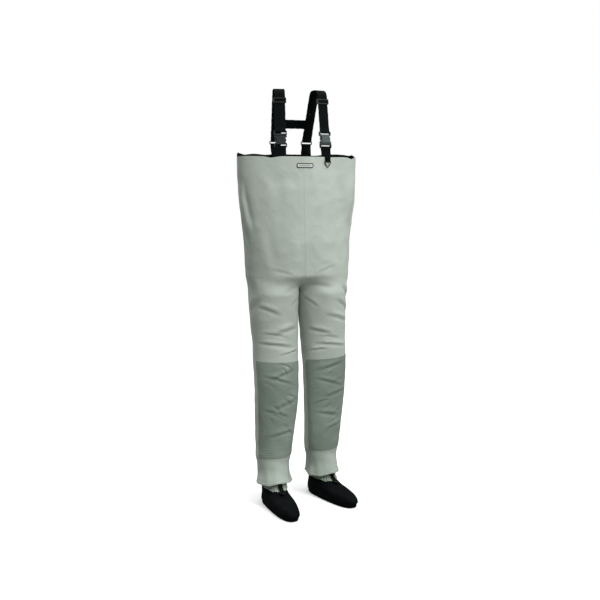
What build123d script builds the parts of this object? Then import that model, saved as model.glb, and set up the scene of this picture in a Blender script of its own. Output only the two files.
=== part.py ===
"""Stockingfoot chest waders on their braces, standing as worn.

Millimetres. +Z is up, the wearer faces -Y, and +X is the wearer's left. The
soles stand on Z = 0. Soft goods are plain closed solids of their true outer
shape, and the hardware has its real parts and clearances.
"""
import os
from math import atan2, cos, degrees, hypot, pi, radians, sin, sqrt, tan

from build123d import *

# ---------------------------------------------------------------- driving sizes
rim_height = 1320.0            # top edge of the front panels
back_rim_rise = 14.0           # the elastic edge at the back stands this much higher
crotch_height = 805.0
crotch_rise = 75.0             # height over which the two legs become one body
patch_top = 556.0
patch_bottom = 190.0           # also the seam where the gravel guard starts
guard_hem_height = 90.0
hem_band = 9.0
sock_top = 118.0
ankle_height = 85.0            # where the stance is given

rim_half_width = 236.0
rim_half_depth = 85.0
hip_half_width = 98.0          # of one leg, where it meets the other at the crotch
guard_forward = 9.0            # the guard's hem stands this much ahead of the ankle

shell_wall = 2.0               # laminated shell fabric
patch_wall = 1.2
tape_wall = 0.6
tape_width = 22.0
facing_wall = 1.2
facing_depth = 68.0
layer_gap = 0.3                # clearance between layers of fabric
sleeve_wall = 1.5
cuff_wall = 3.0
sock_wall = 4.5                # neoprene
sole_wall = 5.5

webbing_width = 40.0
webbing_wall = 1.6
front_strap_spacing = 181.0
back_strap_spacing = 122.0
brace_top = 1568.0             # highest point of the braces
brace_bend = 25.0              # radius of the brace over the shoulder
front_lean = 8.0               # degrees that the front run leans back
back_lean = 18.0               # degrees that the back run leans forward
cross_strap_height = 1446.0
cross_strap_width = 34.0
tab_depth = 52.0               # how far the webbing tabs reach below the rim

buckle_width = 47.0
buckle_depth = 12.0
buckle_foot = 33.0             # buckle's lower end, along the brace from the rim
socket_length = 42.0
plug_base_length = 19.0
buckle_bar = 2.5               # radius of the bars that webbing turns round
buckle_slot = 6.0
adjuster_place = 206.0         # adjuster's middle, along the brace from the rim
adjuster_length = 19.0
moving_gap = 0.35              # clearance of hardware that moves

ring_height = 1377.0           # middle of the rings at the back
ring_bar = 1.8                 # radius of their bars
ring_slot = 8.6

chest_ring_wire = 1.5          # radius
chest_ring_half_width = 15.5
chest_ring_drop = 24.0
chest_loop_width = 20.0
chest_loop_drop = 17.0         # from the rim down to the ring's bar
chest_loop_wall = 1.2

badge_width = 65.0
badge_height = 17.0
badge_middle = 1287.0
badge_wall = 1.4

foot_length = 284.0
foot_heel = 68.0               # from the ankle's middle back to the heel
foot_width = 101.0

lace_tab_width = 17.0
lace_tab_wall = 1.3
lace_bar = 1.2
lace_hook_lift = 16.0          # how far the hook stands off the slope of its tab, degrees

# each foot stands on its own: x and y of the ankle, and how far it turns out
stance = {
    "right": {"side": -1, "ankle": (-124.0, -72.0), "knee_x": -95.0, "turn_out": -4.0},
    "left": {"side": 1, "ankle": (88.0, -26.0), "knee_x": 107.0, "turn_out": 17.0},
}

# one leg's half width and half depth, from its ankle up to the crotch
leg_sizes = [
    (guard_hem_height, 62.0, 74.0),
    (patch_bottom, 69.5, 60.0),
    (256.0, 75.0, 60.0),
    (330.0, 79.5, 62.0),
    (425.0, 86.0, 66.0),
    (520.0, 88.5, 67.0),
    (615.0, 89.5, 71.0),
    (700.0, 93.0, 79.0),
    (760.0, 95.5, 85.0),
    (crotch_height, hip_half_width, 90.0),
]
# the body's half width and half depth, from the crotch up to the rim
body_sizes = [
    (crotch_height, 200.0, 98.0),
    (crotch_height + crotch_rise, 206.0, 103.0),
    (1000.0, 211.0, 101.0),
    (1085.0, 220.0, 95.0),
    (1160.0, 230.0, 91.0),
    (1235.0, 234.0, 87.0),
    (rim_height, rim_half_width, rim_half_depth),
]
# a sock's outlines: height, back to the heel, forward to the toe, half width
sock_sizes = [
    (sole_wall, foot_heel - 4, foot_length - foot_heel - 7, foot_width / 2 - 3),
    (22.0, foot_heel, foot_length - foot_heel, foot_width / 2),
    (40.0, foot_heel - 2, foot_length - foot_heel - 18, foot_width / 2 - 1.5),
    (54.0, foot_heel - 6, 128.0, foot_width / 2 - 3.5),
    (68.0, foot_heel - 10, 93.0, 44.5),
    (84.0, foot_heel - 12, 70.0, 42.5),
    (sock_top, foot_heel - 14, 58.0, 42.0),
]

nodes = {}


def add(name, shape):
    """Keep a finished solid, or a group of solids, under its own name."""
    shape.label = name
    nodes[name] = shape


# ------------------------------------------------------------- the shell's form
def between(table, height):
    """The sizes of a table at any height."""
    if height <= table[0][0]:
        return table[0][1:]
    for low, high in zip(table, table[1:]):
        if height <= high[0]:
            share = (height - low[0]) / (high[0] - low[0])
            return tuple(a + share * (b - a) for a, b in zip(low[1:], high[1:]))
    return table[-1][1:]


def smooth(share):
    share = min(max(share, 0.0), 1.0)
    return share * share * (3 - 2 * share)


def leg_centre(leg, height):
    """A leg's middle: straight below the hip, then out to where its foot stands."""
    ankle_x, ankle_y = leg["ankle"]
    hip_x = leg["side"] * hip_half_width
    knee_height = (patch_top + patch_bottom) / 2 + 100
    if height >= knee_height:
        share = smooth((crotch_height - height) / (crotch_height - knee_height))
        x = hip_x + share * (leg["knee_x"] - hip_x)
    else:
        share = smooth((knee_height - height) / (knee_height - ankle_height))
        x = leg["knee_x"] + share * (ankle_x - leg["knee_x"])
    drop = min(max((crotch_height - height) / (crotch_height - ankle_height), 0.0), 1.0)
    forward = guard_forward * smooth((patch_bottom - height) / (patch_bottom - guard_hem_height))
    turn = leg_turn(leg, height)
    return x + forward * sin(turn), ankle_y * drop**1.3 - forward * cos(turn)


def leg_turn(leg, height):
    """How far a leg's section is turned out, in radians, at a height."""
    drop = smooth((crotch_height - height) / (crotch_height - ankle_height))
    return radians(leg["side"] * leg["turn_out"]) * drop


def shell_point(leg, face, height, share):
    """A point of the shell's outer surface.

    face is -1 for the front and 1 for the back. share runs from 0 at the
    inseam or centre seam to 1 at the side seam.
    """
    side = leg["side"]
    half_width, half_depth = between(leg_sizes, height)
    centre_x, centre_y = leg_centre(leg, height)
    turn = leg_turn(leg, height)
    across = -side * half_width * cos(pi * share)
    along = face * half_depth * sin(pi * share)
    leg_x = centre_x + across * cos(turn) - along * sin(turn)
    leg_y = centre_y + across * sin(turn) + along * cos(turn)
    joined = smooth((height - crotch_height) / crotch_rise)
    body_width, body_depth = between(body_sizes, height)
    body_x = side * body_width * sin(pi * share / 2)
    body_y = face * body_depth * cos(pi * share / 2)
    return leg_x + joined * (body_x - leg_x), leg_y + joined * (body_y - leg_y)


def shell_levels():
    """The heights that every layer of the shell is ruled between."""
    named = [row[0] for row in leg_sizes + body_sizes]
    named += [rim_height - facing_depth, rim_height - facing_depth - 4]
    named += [rim_height + back_rim_rise, patch_top + 4, crotch_height - 12]
    crotch_steps = 5
    named += [crotch_height + crotch_rise * i / crotch_steps for i in range(crotch_steps + 1)]
    named += [crotch_height + crotch_rise + 12, 290.0, 378.0, 472.0, 940.0]
    return sorted(set(named))


def shell_edge(leg, face, height, inset, start, end):
    """Part of the shell's outline at one height, moved inwards by inset."""
    count = 11 if end - start > 0.5 else 5
    step = 0.0005
    inwards = leg["side"] * face
    points = []
    tangents = []
    for i in range(count):
        share = start + (end - start) * i / (count - 1)
        x, y = shell_point(leg, face, height, share)
        x1, y1 = shell_point(leg, face, height, share - step)
        x2, y2 = shell_point(leg, face, height, share + step)
        along = Vector(x2 - x1, y2 - y1, 0).normalized()
        points.append(Vector(x + inset * inwards * along.Y, y - inset * inwards * along.X, height))
        tangents.append(along)
    return points, Edge.make_spline(
        points, tangents=[tangents[0], tangents[-1]], scale=False
    )


def shell_strip(leg, face, outer, inner, start=0.0, end=1.0, low=patch_bottom, high=rim_height):
    """A layer of the shell between two insets, two seams and two levels."""
    sections = []
    for height in [level for level in shell_levels() if low - 0.01 <= level <= high + 0.01]:
        outside, outer_edge = shell_edge(leg, face, height, outer, start, end)
        inside, inner_edge = shell_edge(leg, face, height, inner, start, end)
        sides = [Edge.make_line(outside[0], inside[0]), Edge.make_line(outside[-1], inside[-1])]
        sections.append(Wire([outer_edge, sides[1], inner_edge, sides[0]]))
    return Part() + Solid.make_loft(sections, ruled=True)


def front_prism(points, radius=0.0):
    """A prism along Y in front of the waders, from an outline in x and z."""
    face = make_face(Polyline(*[Vector(x, 0, z) for x, z in points], close=True))
    if radius:
        face = fillet(face.vertices(), radius)
    return extrude(face, 400, dir=(0, -1, 0))


def both_halves(face, outer, inner, low, high, end=1.0):
    """A layer that runs across the centre seam, over both legs' halves."""
    halves = [
        shell_strip(leg, face, outer, inner, 0.0, end, low, high) for leg in stance.values()
    ]
    return halves[0] + halves[1]


# ------------------------------------------------------------------ shell fabric
def make_panels(name, leg):
    add(f"front_panel_{name}", shell_strip(leg, -1, 0, shell_wall))
    add(f"back_panel_{name}", shell_strip(leg, 1, 0, shell_wall))


def make_knee_patch(name, leg):
    """An abrasion patch over knee and shin, with a slanted top edge."""
    layer = shell_strip(
        leg, -1, -layer_gap - patch_wall, -layer_gap, 0.07, 0.9, high=patch_top + 4
    )
    middle_x = leg_centre(leg, patch_top)[0]
    reach = leg["side"] * 150
    slant = 12.0
    outline = [
        (middle_x - reach, patch_bottom + 1),
        (middle_x + reach, patch_bottom + 1),
        (middle_x + reach, patch_top + 3),
        (middle_x - reach / 4, patch_top - slant / 2),
        (middle_x - reach, patch_top - slant),
    ]
    add(f"knee_patch_{name}", layer & front_prism(outline))


def make_seam_tapes():
    """Waterproof tape inside each seam: centre front and back, sides and inseams."""
    outer = shell_wall + layer_gap
    inner = outer + tape_wall
    low = crotch_height + crotch_rise + 12
    high = rim_height - facing_depth - 4
    share = tape_width / 2 / (rim_half_width * pi / 2)
    for name, face in (("front", -1), ("back", 1)):
        add(f"{name}_seam_tape", both_halves(face, outer, inner, low, high, share))
    leg_share = tape_width / 2 / (75.0 * pi)
    for name, leg in stance.items():
        edge = 1 - leg_share
        inseam_top = crotch_height - 12
        side_tape = [shell_strip(leg, f, outer, inner, edge, 1.0, high=high) for f in (-1, 1)]
        inseam = [shell_strip(leg, f, outer, inner, 0.0, leg_share, high=inseam_top) for f in (-1, 1)]
        add(f"side_seam_tape_{name}", side_tape[0] + side_tape[1])
        add(f"inseam_tape_{name}", inseam[0] + inseam[1])


def make_rim():
    """The dark facing inside the top edge, and the elastic edge at the back."""
    outer = shell_wall + layer_gap
    inner = outer + facing_wall
    low = rim_height - facing_depth
    add("front_facing", both_halves(-1, outer, inner, low, rim_height))
    add("back_facing", both_halves(1, outer, inner, low, rim_height))
    add("back_rim_elastic", both_halves(1, 0.0, inner, rim_height, rim_height + back_rim_rise))


def make_badge():
    """A plain rounded badge across the centre seam, below the front edge."""
    share = badge_width / (rim_half_width * pi / 2)
    layer = both_halves(-1, -layer_gap - badge_wall, -layer_gap, 1235.0, rim_height, share)
    half = badge_width / 2
    low, high = badge_middle - badge_height / 2, badge_middle + badge_height / 2
    outline = [(-half, low), (half, low), (half, high), (-half, high)]
    add("chest_badge", layer & front_prism(outline, badge_height * 0.4))


# ---------------------------------------------------------- ankles, guards, socks
def ring_wire(height, back, front, half_width, x, y, turn, inset=0.0, egg=0.0):
    """A closed outline at a height; egg narrows it towards the heel."""
    points = []
    count = 20
    for i in range(count):
        angle = 2 * pi * i / count
        forward = cos(angle)
        length = (front if forward > 0 else back) - inset
        width = (half_width - inset) * (1 - egg + egg * forward)
        across = width * sin(angle)
        along = -length * forward
        points.append(Vector(
            x + across * cos(turn) - along * sin(turn),
            y + across * sin(turn) + along * cos(turn),
            height,
        ))
    return Wire(Edge.make_spline(points, periodic=True))


def tube(rows, wall):
    """A tube of one wall through rows of ring_wire values."""
    outside = Solid.make_loft([ring_wire(*row) for row in rows])
    inside = Solid.make_loft([ring_wire(*row, inset=wall) for row in rows])
    return Part() + outside - inside


def leg_row(leg, height, grow=0.0):
    half_width, half_depth = between(leg_sizes, height)
    x, y = leg_centre(leg, height)
    depth = half_depth + grow
    return (height, depth, depth, half_width + grow, x, y, leg_turn(leg, height))


def ankle_row(leg, height, grow=0.0):
    """The sock's own outline above the ankle, for what closes round it."""
    heel, toe, half_width = between(sock_sizes, height)
    x, y = leg["ankle"]
    turn = radians(leg["side"] * leg["turn_out"])
    return (height, heel + grow, toe + grow, half_width + grow, x, y, turn)


def make_gravel_guard(name, leg):
    """The skirt below the patch with its hem, and the sleeve that it hides."""
    top = patch_bottom - layer_gap
    hem_top = guard_hem_height + hem_band
    skirt = [leg_row(leg, hem_top + layer_gap), leg_row(leg, 145.0, -1.5), leg_row(leg, top)]
    add(f"gravel_guard_{name}", tube(skirt, shell_wall))
    hem = [leg_row(leg, guard_hem_height, 1.0), leg_row(leg, hem_top)]
    add(f"guard_hem_{name}", tube(hem, shell_wall + 1.0))
    room = -shell_wall - 3.0
    sleeve = [
        ankle_row(leg, sock_top + layer_gap),
        leg_row(leg, 150.0, room - 5.0),
        leg_row(leg, top, room),
    ]
    add(f"ankle_sleeve_{name}", tube(sleeve, sleeve_wall))


def sock_layer(leg, outer, inner, low, high):
    """A layer of one sock between two insets, cut off at two heights."""
    x, y = leg["ankle"]
    turn = radians(leg["side"] * leg["turn_out"])
    solids = []
    for inset in (outer, inner):
        wires = [
            ring_wire(*row, x, y, turn, inset, 0.12 if row[2] > 2 * row[1] else 0.04)
            for row in sock_sizes
        ]
        solids.append(Solid.make_loft(wires))
    layer = Part() + solids[0] - solids[1]
    keep = Pos(x, y, (low + high) / 2) * Box(900, 900, high - low)
    return layer & keep


def make_sock(name, leg):
    """The neoprene sock: upper, sole, top seam tape, and the cuff gathered on it."""
    add(f"sock_upper_{name}", sock_layer(leg, 0.0, sock_wall, 0.0, sock_top))
    tape_inset = -layer_gap - tape_wall
    add(f"sock_seam_tape_{name}", sock_layer(leg, tape_inset, -layer_gap, 103.0, sock_top))
    cuff = sock_layer(leg, -layer_gap - cuff_wall, -layer_gap, 73.0, 100.0)
    add(f"guard_cuff_{name}", cuff)
    x, y = leg["ankle"]
    heel, toe, half_width = sock_sizes[0][1:]
    turn = radians(leg["side"] * leg["turn_out"])
    outline = ring_wire(0.0, heel, toe, half_width, x, y, turn, 0.0, 0.12)
    sole = extrude(Face(outline), sole_wall, dir=(0, 0, 1))
    lower_edge = sole.faces().sort_by(Axis.Z)[0].edges()
    add(f"sock_sole_{name}", fillet(lower_edge, 2.5))


def bar_loop(bar, gap, wall, width, reach, tail):
    """Webbing turned round a bar at the origin, its two layers running up together.

    They meet reach above the bar, and end tail above it.
    """
    apart = layer_gap / 2
    turn = Circle(bar + gap + wall) + Pos(0, reach) * Circle(apart + wall)
    outer = make_hull(turn.edges())
    hole = Circle(bar + gap) + Pos(0, reach) * Circle(apart)
    inner = make_hull(hole.edges())
    layer = Pos(apart + wall / 2, (reach + tail) / 2) * Rectangle(wall, tail - reach)
    other = Pos(-apart - wall / 2, (reach + tail) / 2) * Rectangle(wall, tail - reach)
    profile = Plane.YZ * (outer - inner + layer + other)
    return extrude(profile, width / 2, both=True)


def make_lace_hook(name, leg):
    """The tab in front of each ankle, and the hook that swings from its end."""
    x, y = leg["ankle"]
    foot = Pos(x, y, 0) * Rot(0, 0, leg["side"] * leg["turn_out"])
    ankle_front = -between(sock_sizes, 84.0)[1]
    instep_front = -between(sock_sizes, 72.0)[1]
    stand_off = cuff_wall + layer_gap + 3.2
    bar = Vector(0, instep_front - stand_off - 3.0, 74.0)
    knee = Vector(0, ankle_front - stand_off, 87.0)
    top = Vector(0, knee.Y + 7.5, 112.0)
    slope = degrees(atan2(knee.Y - bar.Y, knee.Z - bar.Z))
    at_bar = foot * Pos(bar) * Rot(-slope, 0, 0)
    band = Part()
    start = bar + (knee - bar).normalized() * 7.0
    for low, high in ((start, knee), (knee, top)):
        run = high - low
        piece = Box(lace_tab_width, lace_tab_wall, run.length + lace_tab_wall)
        band += Pos((low + high) * 0.5) * Rot(-degrees(atan2(run.Y, run.Z)), 0, 0) * piece
    loop = bar_loop(lace_bar, moving_gap, lace_tab_wall / 2, lace_tab_width, 5.0, 9.0)
    add(f"lace_tab_{name}", foot * band + at_bar * loop)
    half = lace_tab_width / 2 + moving_gap
    frame = Pos(0, 0, -2.2) * Box(2 * half + 4, 2 * lace_bar, 6.8)
    frame -= Pos(0, 0, -0.4) * Box(2 * half, 5, 5.6)
    frame += Rot(0, 90, 0) * Cylinder(lace_bar, 2 * half + 4)
    tongue = Pos(0, 0, -9.0) * Box(9, 1.6, 8.4)
    bend = Pos(0, -1.9, -13.4) * Box(9, 5.4, 1.6)
    point = Pos(0, -3.8, -10.6) * Box(9, 1.6, 5.6)
    hang = at_bar * Rot(-lace_hook_lift, 0, 0)
    add(f"lace_hook_{name}", hang * (frame + tongue + bend + point))


# ------------------------------------------------------------------------ braces
front_x = front_strap_spacing / 2
back_x = back_strap_spacing / 2
front_y = -rim_half_depth * sqrt(1 - (front_x / rim_half_width) ** 2)
back_y = rim_half_depth * sqrt(1 - (back_x / rim_half_width) ** 2)
splay = degrees(atan2(front_x - back_x, back_y - front_y))
middle_x = back_x + (front_x - back_x) * back_y / (back_y - front_y)
front_reach = -hypot(front_x - middle_x, front_y)
back_reach = hypot(middle_x - back_x, back_y)
tab_wall = 2 * webbing_wall + layer_gap
lining = shell_wall + 2 * layer_gap + facing_wall + 0.5 + chest_loop_wall + layer_gap
run_y = front_reach + lining + tab_wall / 2
socket_bar = socket_length - buckle_bar
plug_bar = plug_base_length - buckle_bar


def brace_place(side):
    """A brace's own upright plane: its X is the webbing's width, its Y runs back."""
    return Pos(side * middle_x, 0, 0) * Rot(0, 0, side * splay)


def front_place(side):
    """Along the front run of a brace, from the rim upwards."""
    return brace_place(side) * Pos(0, run_y, rim_height) * Rot(-front_lean, 0, 0)


def ring_y():
    return back_reach - lining - tab_wall / 2 + 1.0


def back_place(side):
    """Along the back run of a brace, from the middle of its ring upwards."""
    return brace_place(side) * Pos(0, ring_y(), ring_height) * Rot(back_lean, 0, 0)


def make_front_tab(name, side):
    """Webbing sewn inside the front edge, turned round the buckle's lower bar."""
    bar_height = buckle_foot + buckle_bar
    loop = bar_loop(buckle_bar, moving_gap, webbing_wall, webbing_width, 14.0, bar_height + 1)
    upper = front_place(side) * Pos(0, 0, bar_height) * Rot(180, 0, 0) * loop
    lower = Pos(0, run_y, rim_height - tab_depth / 2) * Box(webbing_width, tab_wall, tab_depth)
    add(f"front_tab_{name}", upper + brace_place(side) * lower)


def make_front_loop(name, side, bar_height):
    """The doubled front run, from the buckle's upper bar to the adjuster."""
    top = adjuster_place + adjuster_length / 2 - 2.0
    tail = top - bar_height
    loop = bar_loop(buckle_bar, moving_gap, webbing_wall, webbing_width, 14.0, tail)
    add(f"front_loop_{name}", front_place(side) * Pos(0, 0, bar_height) * loop)


def make_adjuster(name, side):
    """A three-bar slide: two bars in front of the webbing and one behind it."""
    clear = tab_wall / 2 + moving_gap
    bar = 2.4
    rail_inner = webbing_width / 2 + moving_gap
    rail = 3.2
    depth = 2 * (clear + bar)
    frame = Part()
    for end in (-1, 1):
        frame += Pos(end * (rail_inner + rail / 2), 0, 0) * Box(rail, depth, adjuster_length)
        front_bar = Box(2 * rail_inner + 2, bar, 4.4)
        frame += Pos(0, -clear - bar / 2, end * (adjuster_length / 2 - 2.2)) * front_bar
    frame += Pos(0, clear + bar / 2, 0) * Box(2 * rail_inner + 2, bar, 5.0)
    frame = fillet(frame.edges().filter_by(Axis.Y).group_by(SortBy.LENGTH)[-1], 1.2)
    add(f"adjuster_{name}", front_place(side) * Pos(0, 0, adjuster_place) * frame)


def make_shoulder_strap(name, side):
    """The single run over the shoulder, from the adjuster to the cross strap."""
    start = adjuster_place + adjuster_length / 2 - 2.0 + layer_gap
    outer_layer = -(layer_gap + webbing_wall) / 2
    top = brace_top - webbing_wall / 2
    lean = radians(front_lean)
    front_line_y = run_y + outer_layer / cos(lean)
    first = (front_line_y + start * sin(lean), rim_height + start * cos(lean))
    front_corner = (front_line_y + (top - rim_height) * tan(lean), top)
    slope = tan(radians(back_lean))
    back_corner = (ring_y() - (top - ring_height) * slope, top)
    last_height = ring_height + back_strap_reach * cos(radians(back_lean))
    last = (ring_y() - (last_height - ring_height) * slope, last_height)
    points = [Vector(0, y, z) for y, z in (first, front_corner, back_corner, last)]
    path = FilletPolyline(*points, radius=brace_bend)
    section = Plane(origin=path @ 0, x_dir=(1, 0, 0), z_dir=path % 0)
    strap = sweep(section * Rectangle(webbing_width, webbing_wall), path=path)
    add(f"shoulder_strap_{name}", brace_place(side) * strap)


back_strap_reach = 112.0       # from the ring up the back run, past the cross strap


def make_back_strap(name, side):
    """The back run, turned round the ring's upper bar and sewn to itself."""
    bar_height = ring_slot / 2 + ring_bar
    loop = bar_loop(ring_bar, moving_gap, webbing_wall, webbing_width, 12.0, 40.0)
    single = back_strap_reach - layer_gap - bar_height - 11.0
    run = Pos(0, 0, 11.0 + single / 2) * Box(webbing_width, webbing_wall, single)
    add(f"back_strap_{name}", back_place(side) * Pos(0, 0, bar_height) * (loop + run))


def make_back_ring(name, side):
    """An oblong ring that joins the brace to the tab at the back."""
    half_width = webbing_width / 2 + moving_gap + 0.6
    half_height = ring_slot / 2
    outer = RectangleRounded(
        2 * (half_width + 2 * ring_bar), 2 * (half_height + 2 * ring_bar), half_height + ring_bar
    )
    slot = RectangleRounded(2 * half_width, 2 * half_height, 1.6)
    ring = extrude(Plane.XZ * (outer - slot), ring_bar, both=True)
    upright = [edge for edge in ring.edges() if abs(edge.center().Y) > ring_bar * 0.9]
    ring = fillet(upright, ring_bar * 0.62)
    add(f"back_ring_{name}", back_place(side) * ring)


def make_back_tab(name, side):
    """Webbing from the ring down inside the back edge, twisting to lie on it."""
    bar_height = ring_slot / 2 + ring_bar
    loop = bar_loop(ring_bar, moving_gap, webbing_wall, webbing_width, 10.0, 14.0)
    ring_bottom = back_place(side) * Pos(0, 0, -bar_height)
    place = Pos(ring_bottom.position) * Rot(0, 0, side * splay)
    upper = place * Rot(180, 0, 0) * loop
    tangent = degrees(atan2(rim_half_depth**2 * back_x, rim_half_width**2 * back_y))
    inset = shell_wall + 2 * layer_gap + facing_wall + tab_wall / 2 + 1.0
    low_x = side * (back_x - inset * sin(radians(tangent)))
    low_y = back_y - inset * cos(radians(tangent))
    section = Rectangle(webbing_width, tab_wall)
    start = ring_bottom.position.Z - 13.0
    frames = [
        Pos(ring_bottom.position.X, ring_bottom.position.Y, start) * Rot(0, 0, side * splay),
        Pos(low_x, low_y, rim_height + back_rim_rise + 2) * Rot(0, 0, -side * tangent),
        Pos(low_x, low_y, rim_height - tab_depth) * Rot(0, 0, -side * tangent),
    ]
    faces = [(frame * section).face() for frame in frames]
    twist = Solid.make_loft([face.outer_wire() for face in faces], ruled=True)
    add(f"back_tab_{name}", upper + twist)


def make_cross_strap():
    """The strap that joins the two back runs, sewn on their inner faces."""
    run = (cross_strap_height - ring_height) / cos(radians(back_lean))
    reach = webbing_width / 2 - 2
    clear = webbing_wall + layer_gap + 0.1
    section = Plane.YZ * Rectangle(webbing_wall, cross_strap_width)
    stations = [(-1, -reach), (-1, reach), (1, -reach), (1, reach)]
    frames = [back_place(side) * Pos(x, -clear, run) for side, x in stations]
    middle_y = frames[1].position.Y * 0.5 + frames[2].position.Y * 0.5 - 5.0
    middle_z = frames[1].position.Z
    frames.insert(2, Pos(0, middle_y, middle_z) * Rot(back_lean, 0, 0))
    wires = [(frame * section).face().outer_wire() for frame in frames]
    add("cross_strap", Part() + Solid.make_loft(wires, ruled=True))


# ----------------------------------------------------------------------- buckles
arm_pivot = 13.0               # from the middle to where an arm springs from
cavity_half_width = 17.5
cavity_depth = 7.0
tongue_half_width = 4.0
arm_depth = cavity_depth - 2 * moving_gap


def buckle_place(side):
    """The buckle's mouth, with its Z pointing into the socket.

    On the wearer's left the socket hangs from the brace above the plug. On
    the right it is the other way up.
    """
    if side > 0:
        return front_place(side) * Pos(0, 0, buckle_foot + plug_base_length)
    return front_place(side) * Pos(0, 0, buckle_foot + socket_length) * Rot(0, 180, 0)


def webbing_slot(height):
    """A slot beside a bar that webbing passes through."""
    return Pos(0, 0, height) * Box(webbing_width + 1.6, 2 * buckle_depth, buckle_slot)


def make_socket(name, side):
    """The female half: an hourglass body, its cavity, and a bar for the webbing."""
    body = Pos(0, 0, socket_length / 2) * Box(buckle_width, buckle_depth, socket_length)
    body = fillet(body.edges().filter_by(Axis.Y), 3.0)
    body = fillet(body.edges().filter_by(Axis.X), 1.5)
    cavity = Pos(0, 0, 13.0) * Box(2 * cavity_half_width, cavity_depth, 26.02)
    body -= cavity
    for end in (-1, 1):
        waist = Pos(end * 28.0, 0, 16.0) * Rot(90, 0, 0) * Cylinder(13.0, 2 * buckle_depth)
        body -= waist
    body -= webbing_slot(socket_bar - buckle_bar - buckle_slot / 2)
    bar_zone = Pos(0, 0, socket_bar + 10) * Box(webbing_width + 1.6, 30, 20 + 2 * buckle_bar)
    bar = Pos(0, 0, socket_bar) * Rot(0, 90, 0) * Cylinder(buckle_bar, webbing_width + 3)
    body = body - bar_zone + bar
    add(f"buckle_socket_{name}", buckle_place(side) * body)


def make_plug(name, side):
    """The male half: a base with a bar for its webbing, and a centre tongue."""
    length = plug_base_length - moving_gap
    body = Pos(0, 0, -moving_gap - length / 2) * Box(buckle_width, buckle_depth, length)
    body = fillet(body.edges().filter_by(Axis.Y), 3.0)
    body = fillet(body.edges().filter_by(Axis.X), 1.5)
    body -= webbing_slot(-plug_bar + buckle_bar + buckle_slot / 2)
    bar_zone = Pos(0, 0, -plug_bar - 10) * Box(webbing_width + 1.6, 30, 20 + 2 * buckle_bar)
    bar = Pos(0, 0, -plug_bar) * Rot(0, 90, 0) * Cylinder(buckle_bar, webbing_width + 3)
    tongue = Pos(0, 0, 10.5) * Box(2 * tongue_half_width, 4.0, 22.0)
    add(f"buckle_plug_{name}", buckle_place(side) * (body - bar_zone + bar + tongue))


def make_arms(name, side):
    """The plug's two latch arms, each bulging into the socket's side window."""
    outline = [
        (arm_pivot - 2.4, 0.0), (arm_pivot + 2.4, 0.0), (arm_pivot + 3.4, 6.0),
        (17.0, 9.6), (20.6, 9.9), (20.9, 20.0), (16.8, 23.4), (12.6, 24.0),
        (12.6, 12.0), (arm_pivot - 2.4, 6.0),
    ]
    arm = extrude(Plane.XZ * make_face(Polyline(*outline, close=True)), arm_depth / 2, both=True)
    for end, arm_name in ((1, "outer"), (-1, "inner")):
        turned = arm if end > 0 else arm.mirror(Plane.YZ)
        add(f"plug_arm_{arm_name}_{name}", buckle_place(side) * turned)


# --------------------------------------------------------------------- chest ring
def make_chest_ring():
    """A webbing loop over the front edge, and the triangular ring that hangs in it."""
    inner_radius = chest_ring_wire + moving_gap
    outer_radius = inner_radius + chest_loop_wall
    bar_y = front_reach - layer_gap - 0.4 - outer_radius
    bar_z = rim_height - chest_loop_drop
    top = rim_height + 2.0
    inside_y = front_reach + lining - layer_gap
    turn = Pos(bar_y, bar_z) * Circle(outer_radius)
    legs = Rectangle(2 * outer_radius, top - bar_z, align=(Align.CENTER, Align.MIN))
    hollow = Rectangle(2 * inner_radius, top - bar_z - chest_loop_wall, align=(Align.CENTER, Align.MIN))
    profile = turn + Pos(bar_y, bar_z) * legs - Pos(bar_y, bar_z) * Circle(inner_radius)
    profile -= Pos(bar_y, bar_z) * hollow
    over = Rectangle(inside_y - bar_y, chest_loop_wall, align=(Align.MIN, Align.MAX))
    inside = Rectangle(chest_loop_wall, 14.0, align=(Align.MAX, Align.MAX))
    profile += Pos(bar_y, top) * over
    profile += Pos(inside_y, top) * inside
    loop = extrude(Plane.YZ * profile, chest_loop_width / 2, both=True)
    add("chest_loop", brace_place(1) * loop)
    corners = [
        Vector(-chest_ring_half_width, 0, 0),
        Vector(chest_ring_half_width, 0, 0),
        Vector(0, 0, -chest_ring_drop),
    ]
    path = FilletPolyline(*corners, radius=3.0, close=True)
    straight = path.edges().sort_by(Axis.Z)[-1]
    section = Plane(origin=straight @ 0.5, z_dir=straight % 0.5) * Circle(chest_ring_wire)
    ring = sweep(section, path=Wire(path.edges()))
    add("chest_ring", brace_place(1) * Pos(0, bar_y, bar_z) * ring)


def make_brace(name, side):
    upper_bar = buckle_foot + socket_length + plug_base_length - buckle_bar
    make_front_tab(name, side)
    make_front_loop(name, side, upper_bar)
    make_adjuster(name, side)
    make_shoulder_strap(name, side)
    make_back_strap(name, side)
    make_back_ring(name, side)
    make_back_tab(name, side)
    make_socket(name, side)
    make_plug(name, side)
    make_arms(name, side)


def write_parts():
    """Write every node, with the origin under the middle of the overall box."""
    os.makedirs("parts", exist_ok=True)
    boxes = [shape.bounding_box() for shape in nodes.values()]
    front = min(box.min.Y for box in boxes)
    back = max(box.max.Y for box in boxes)
    for name, shape in nodes.items():
        export_step(shape.moved(Pos(0, -(front + back) / 2, 0)), f"parts/{name}.step")


for leg_name, leg_values in stance.items():
    make_panels(leg_name, leg_values)
    make_knee_patch(leg_name, leg_values)
    make_gravel_guard(leg_name, leg_values)
    make_sock(leg_name, leg_values)
    make_lace_hook(leg_name, leg_values)
    make_brace(leg_name, leg_values["side"])
make_seam_tapes()
make_rim()
make_badge()
make_cross_strap()
make_chest_ring()
write_parts()
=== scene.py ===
from math import acos, atan2, cos, hypot, pi, radians, sin, sqrt, tan

import bmesh
import bpy
import numpy as np
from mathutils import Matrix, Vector, noise


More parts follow.
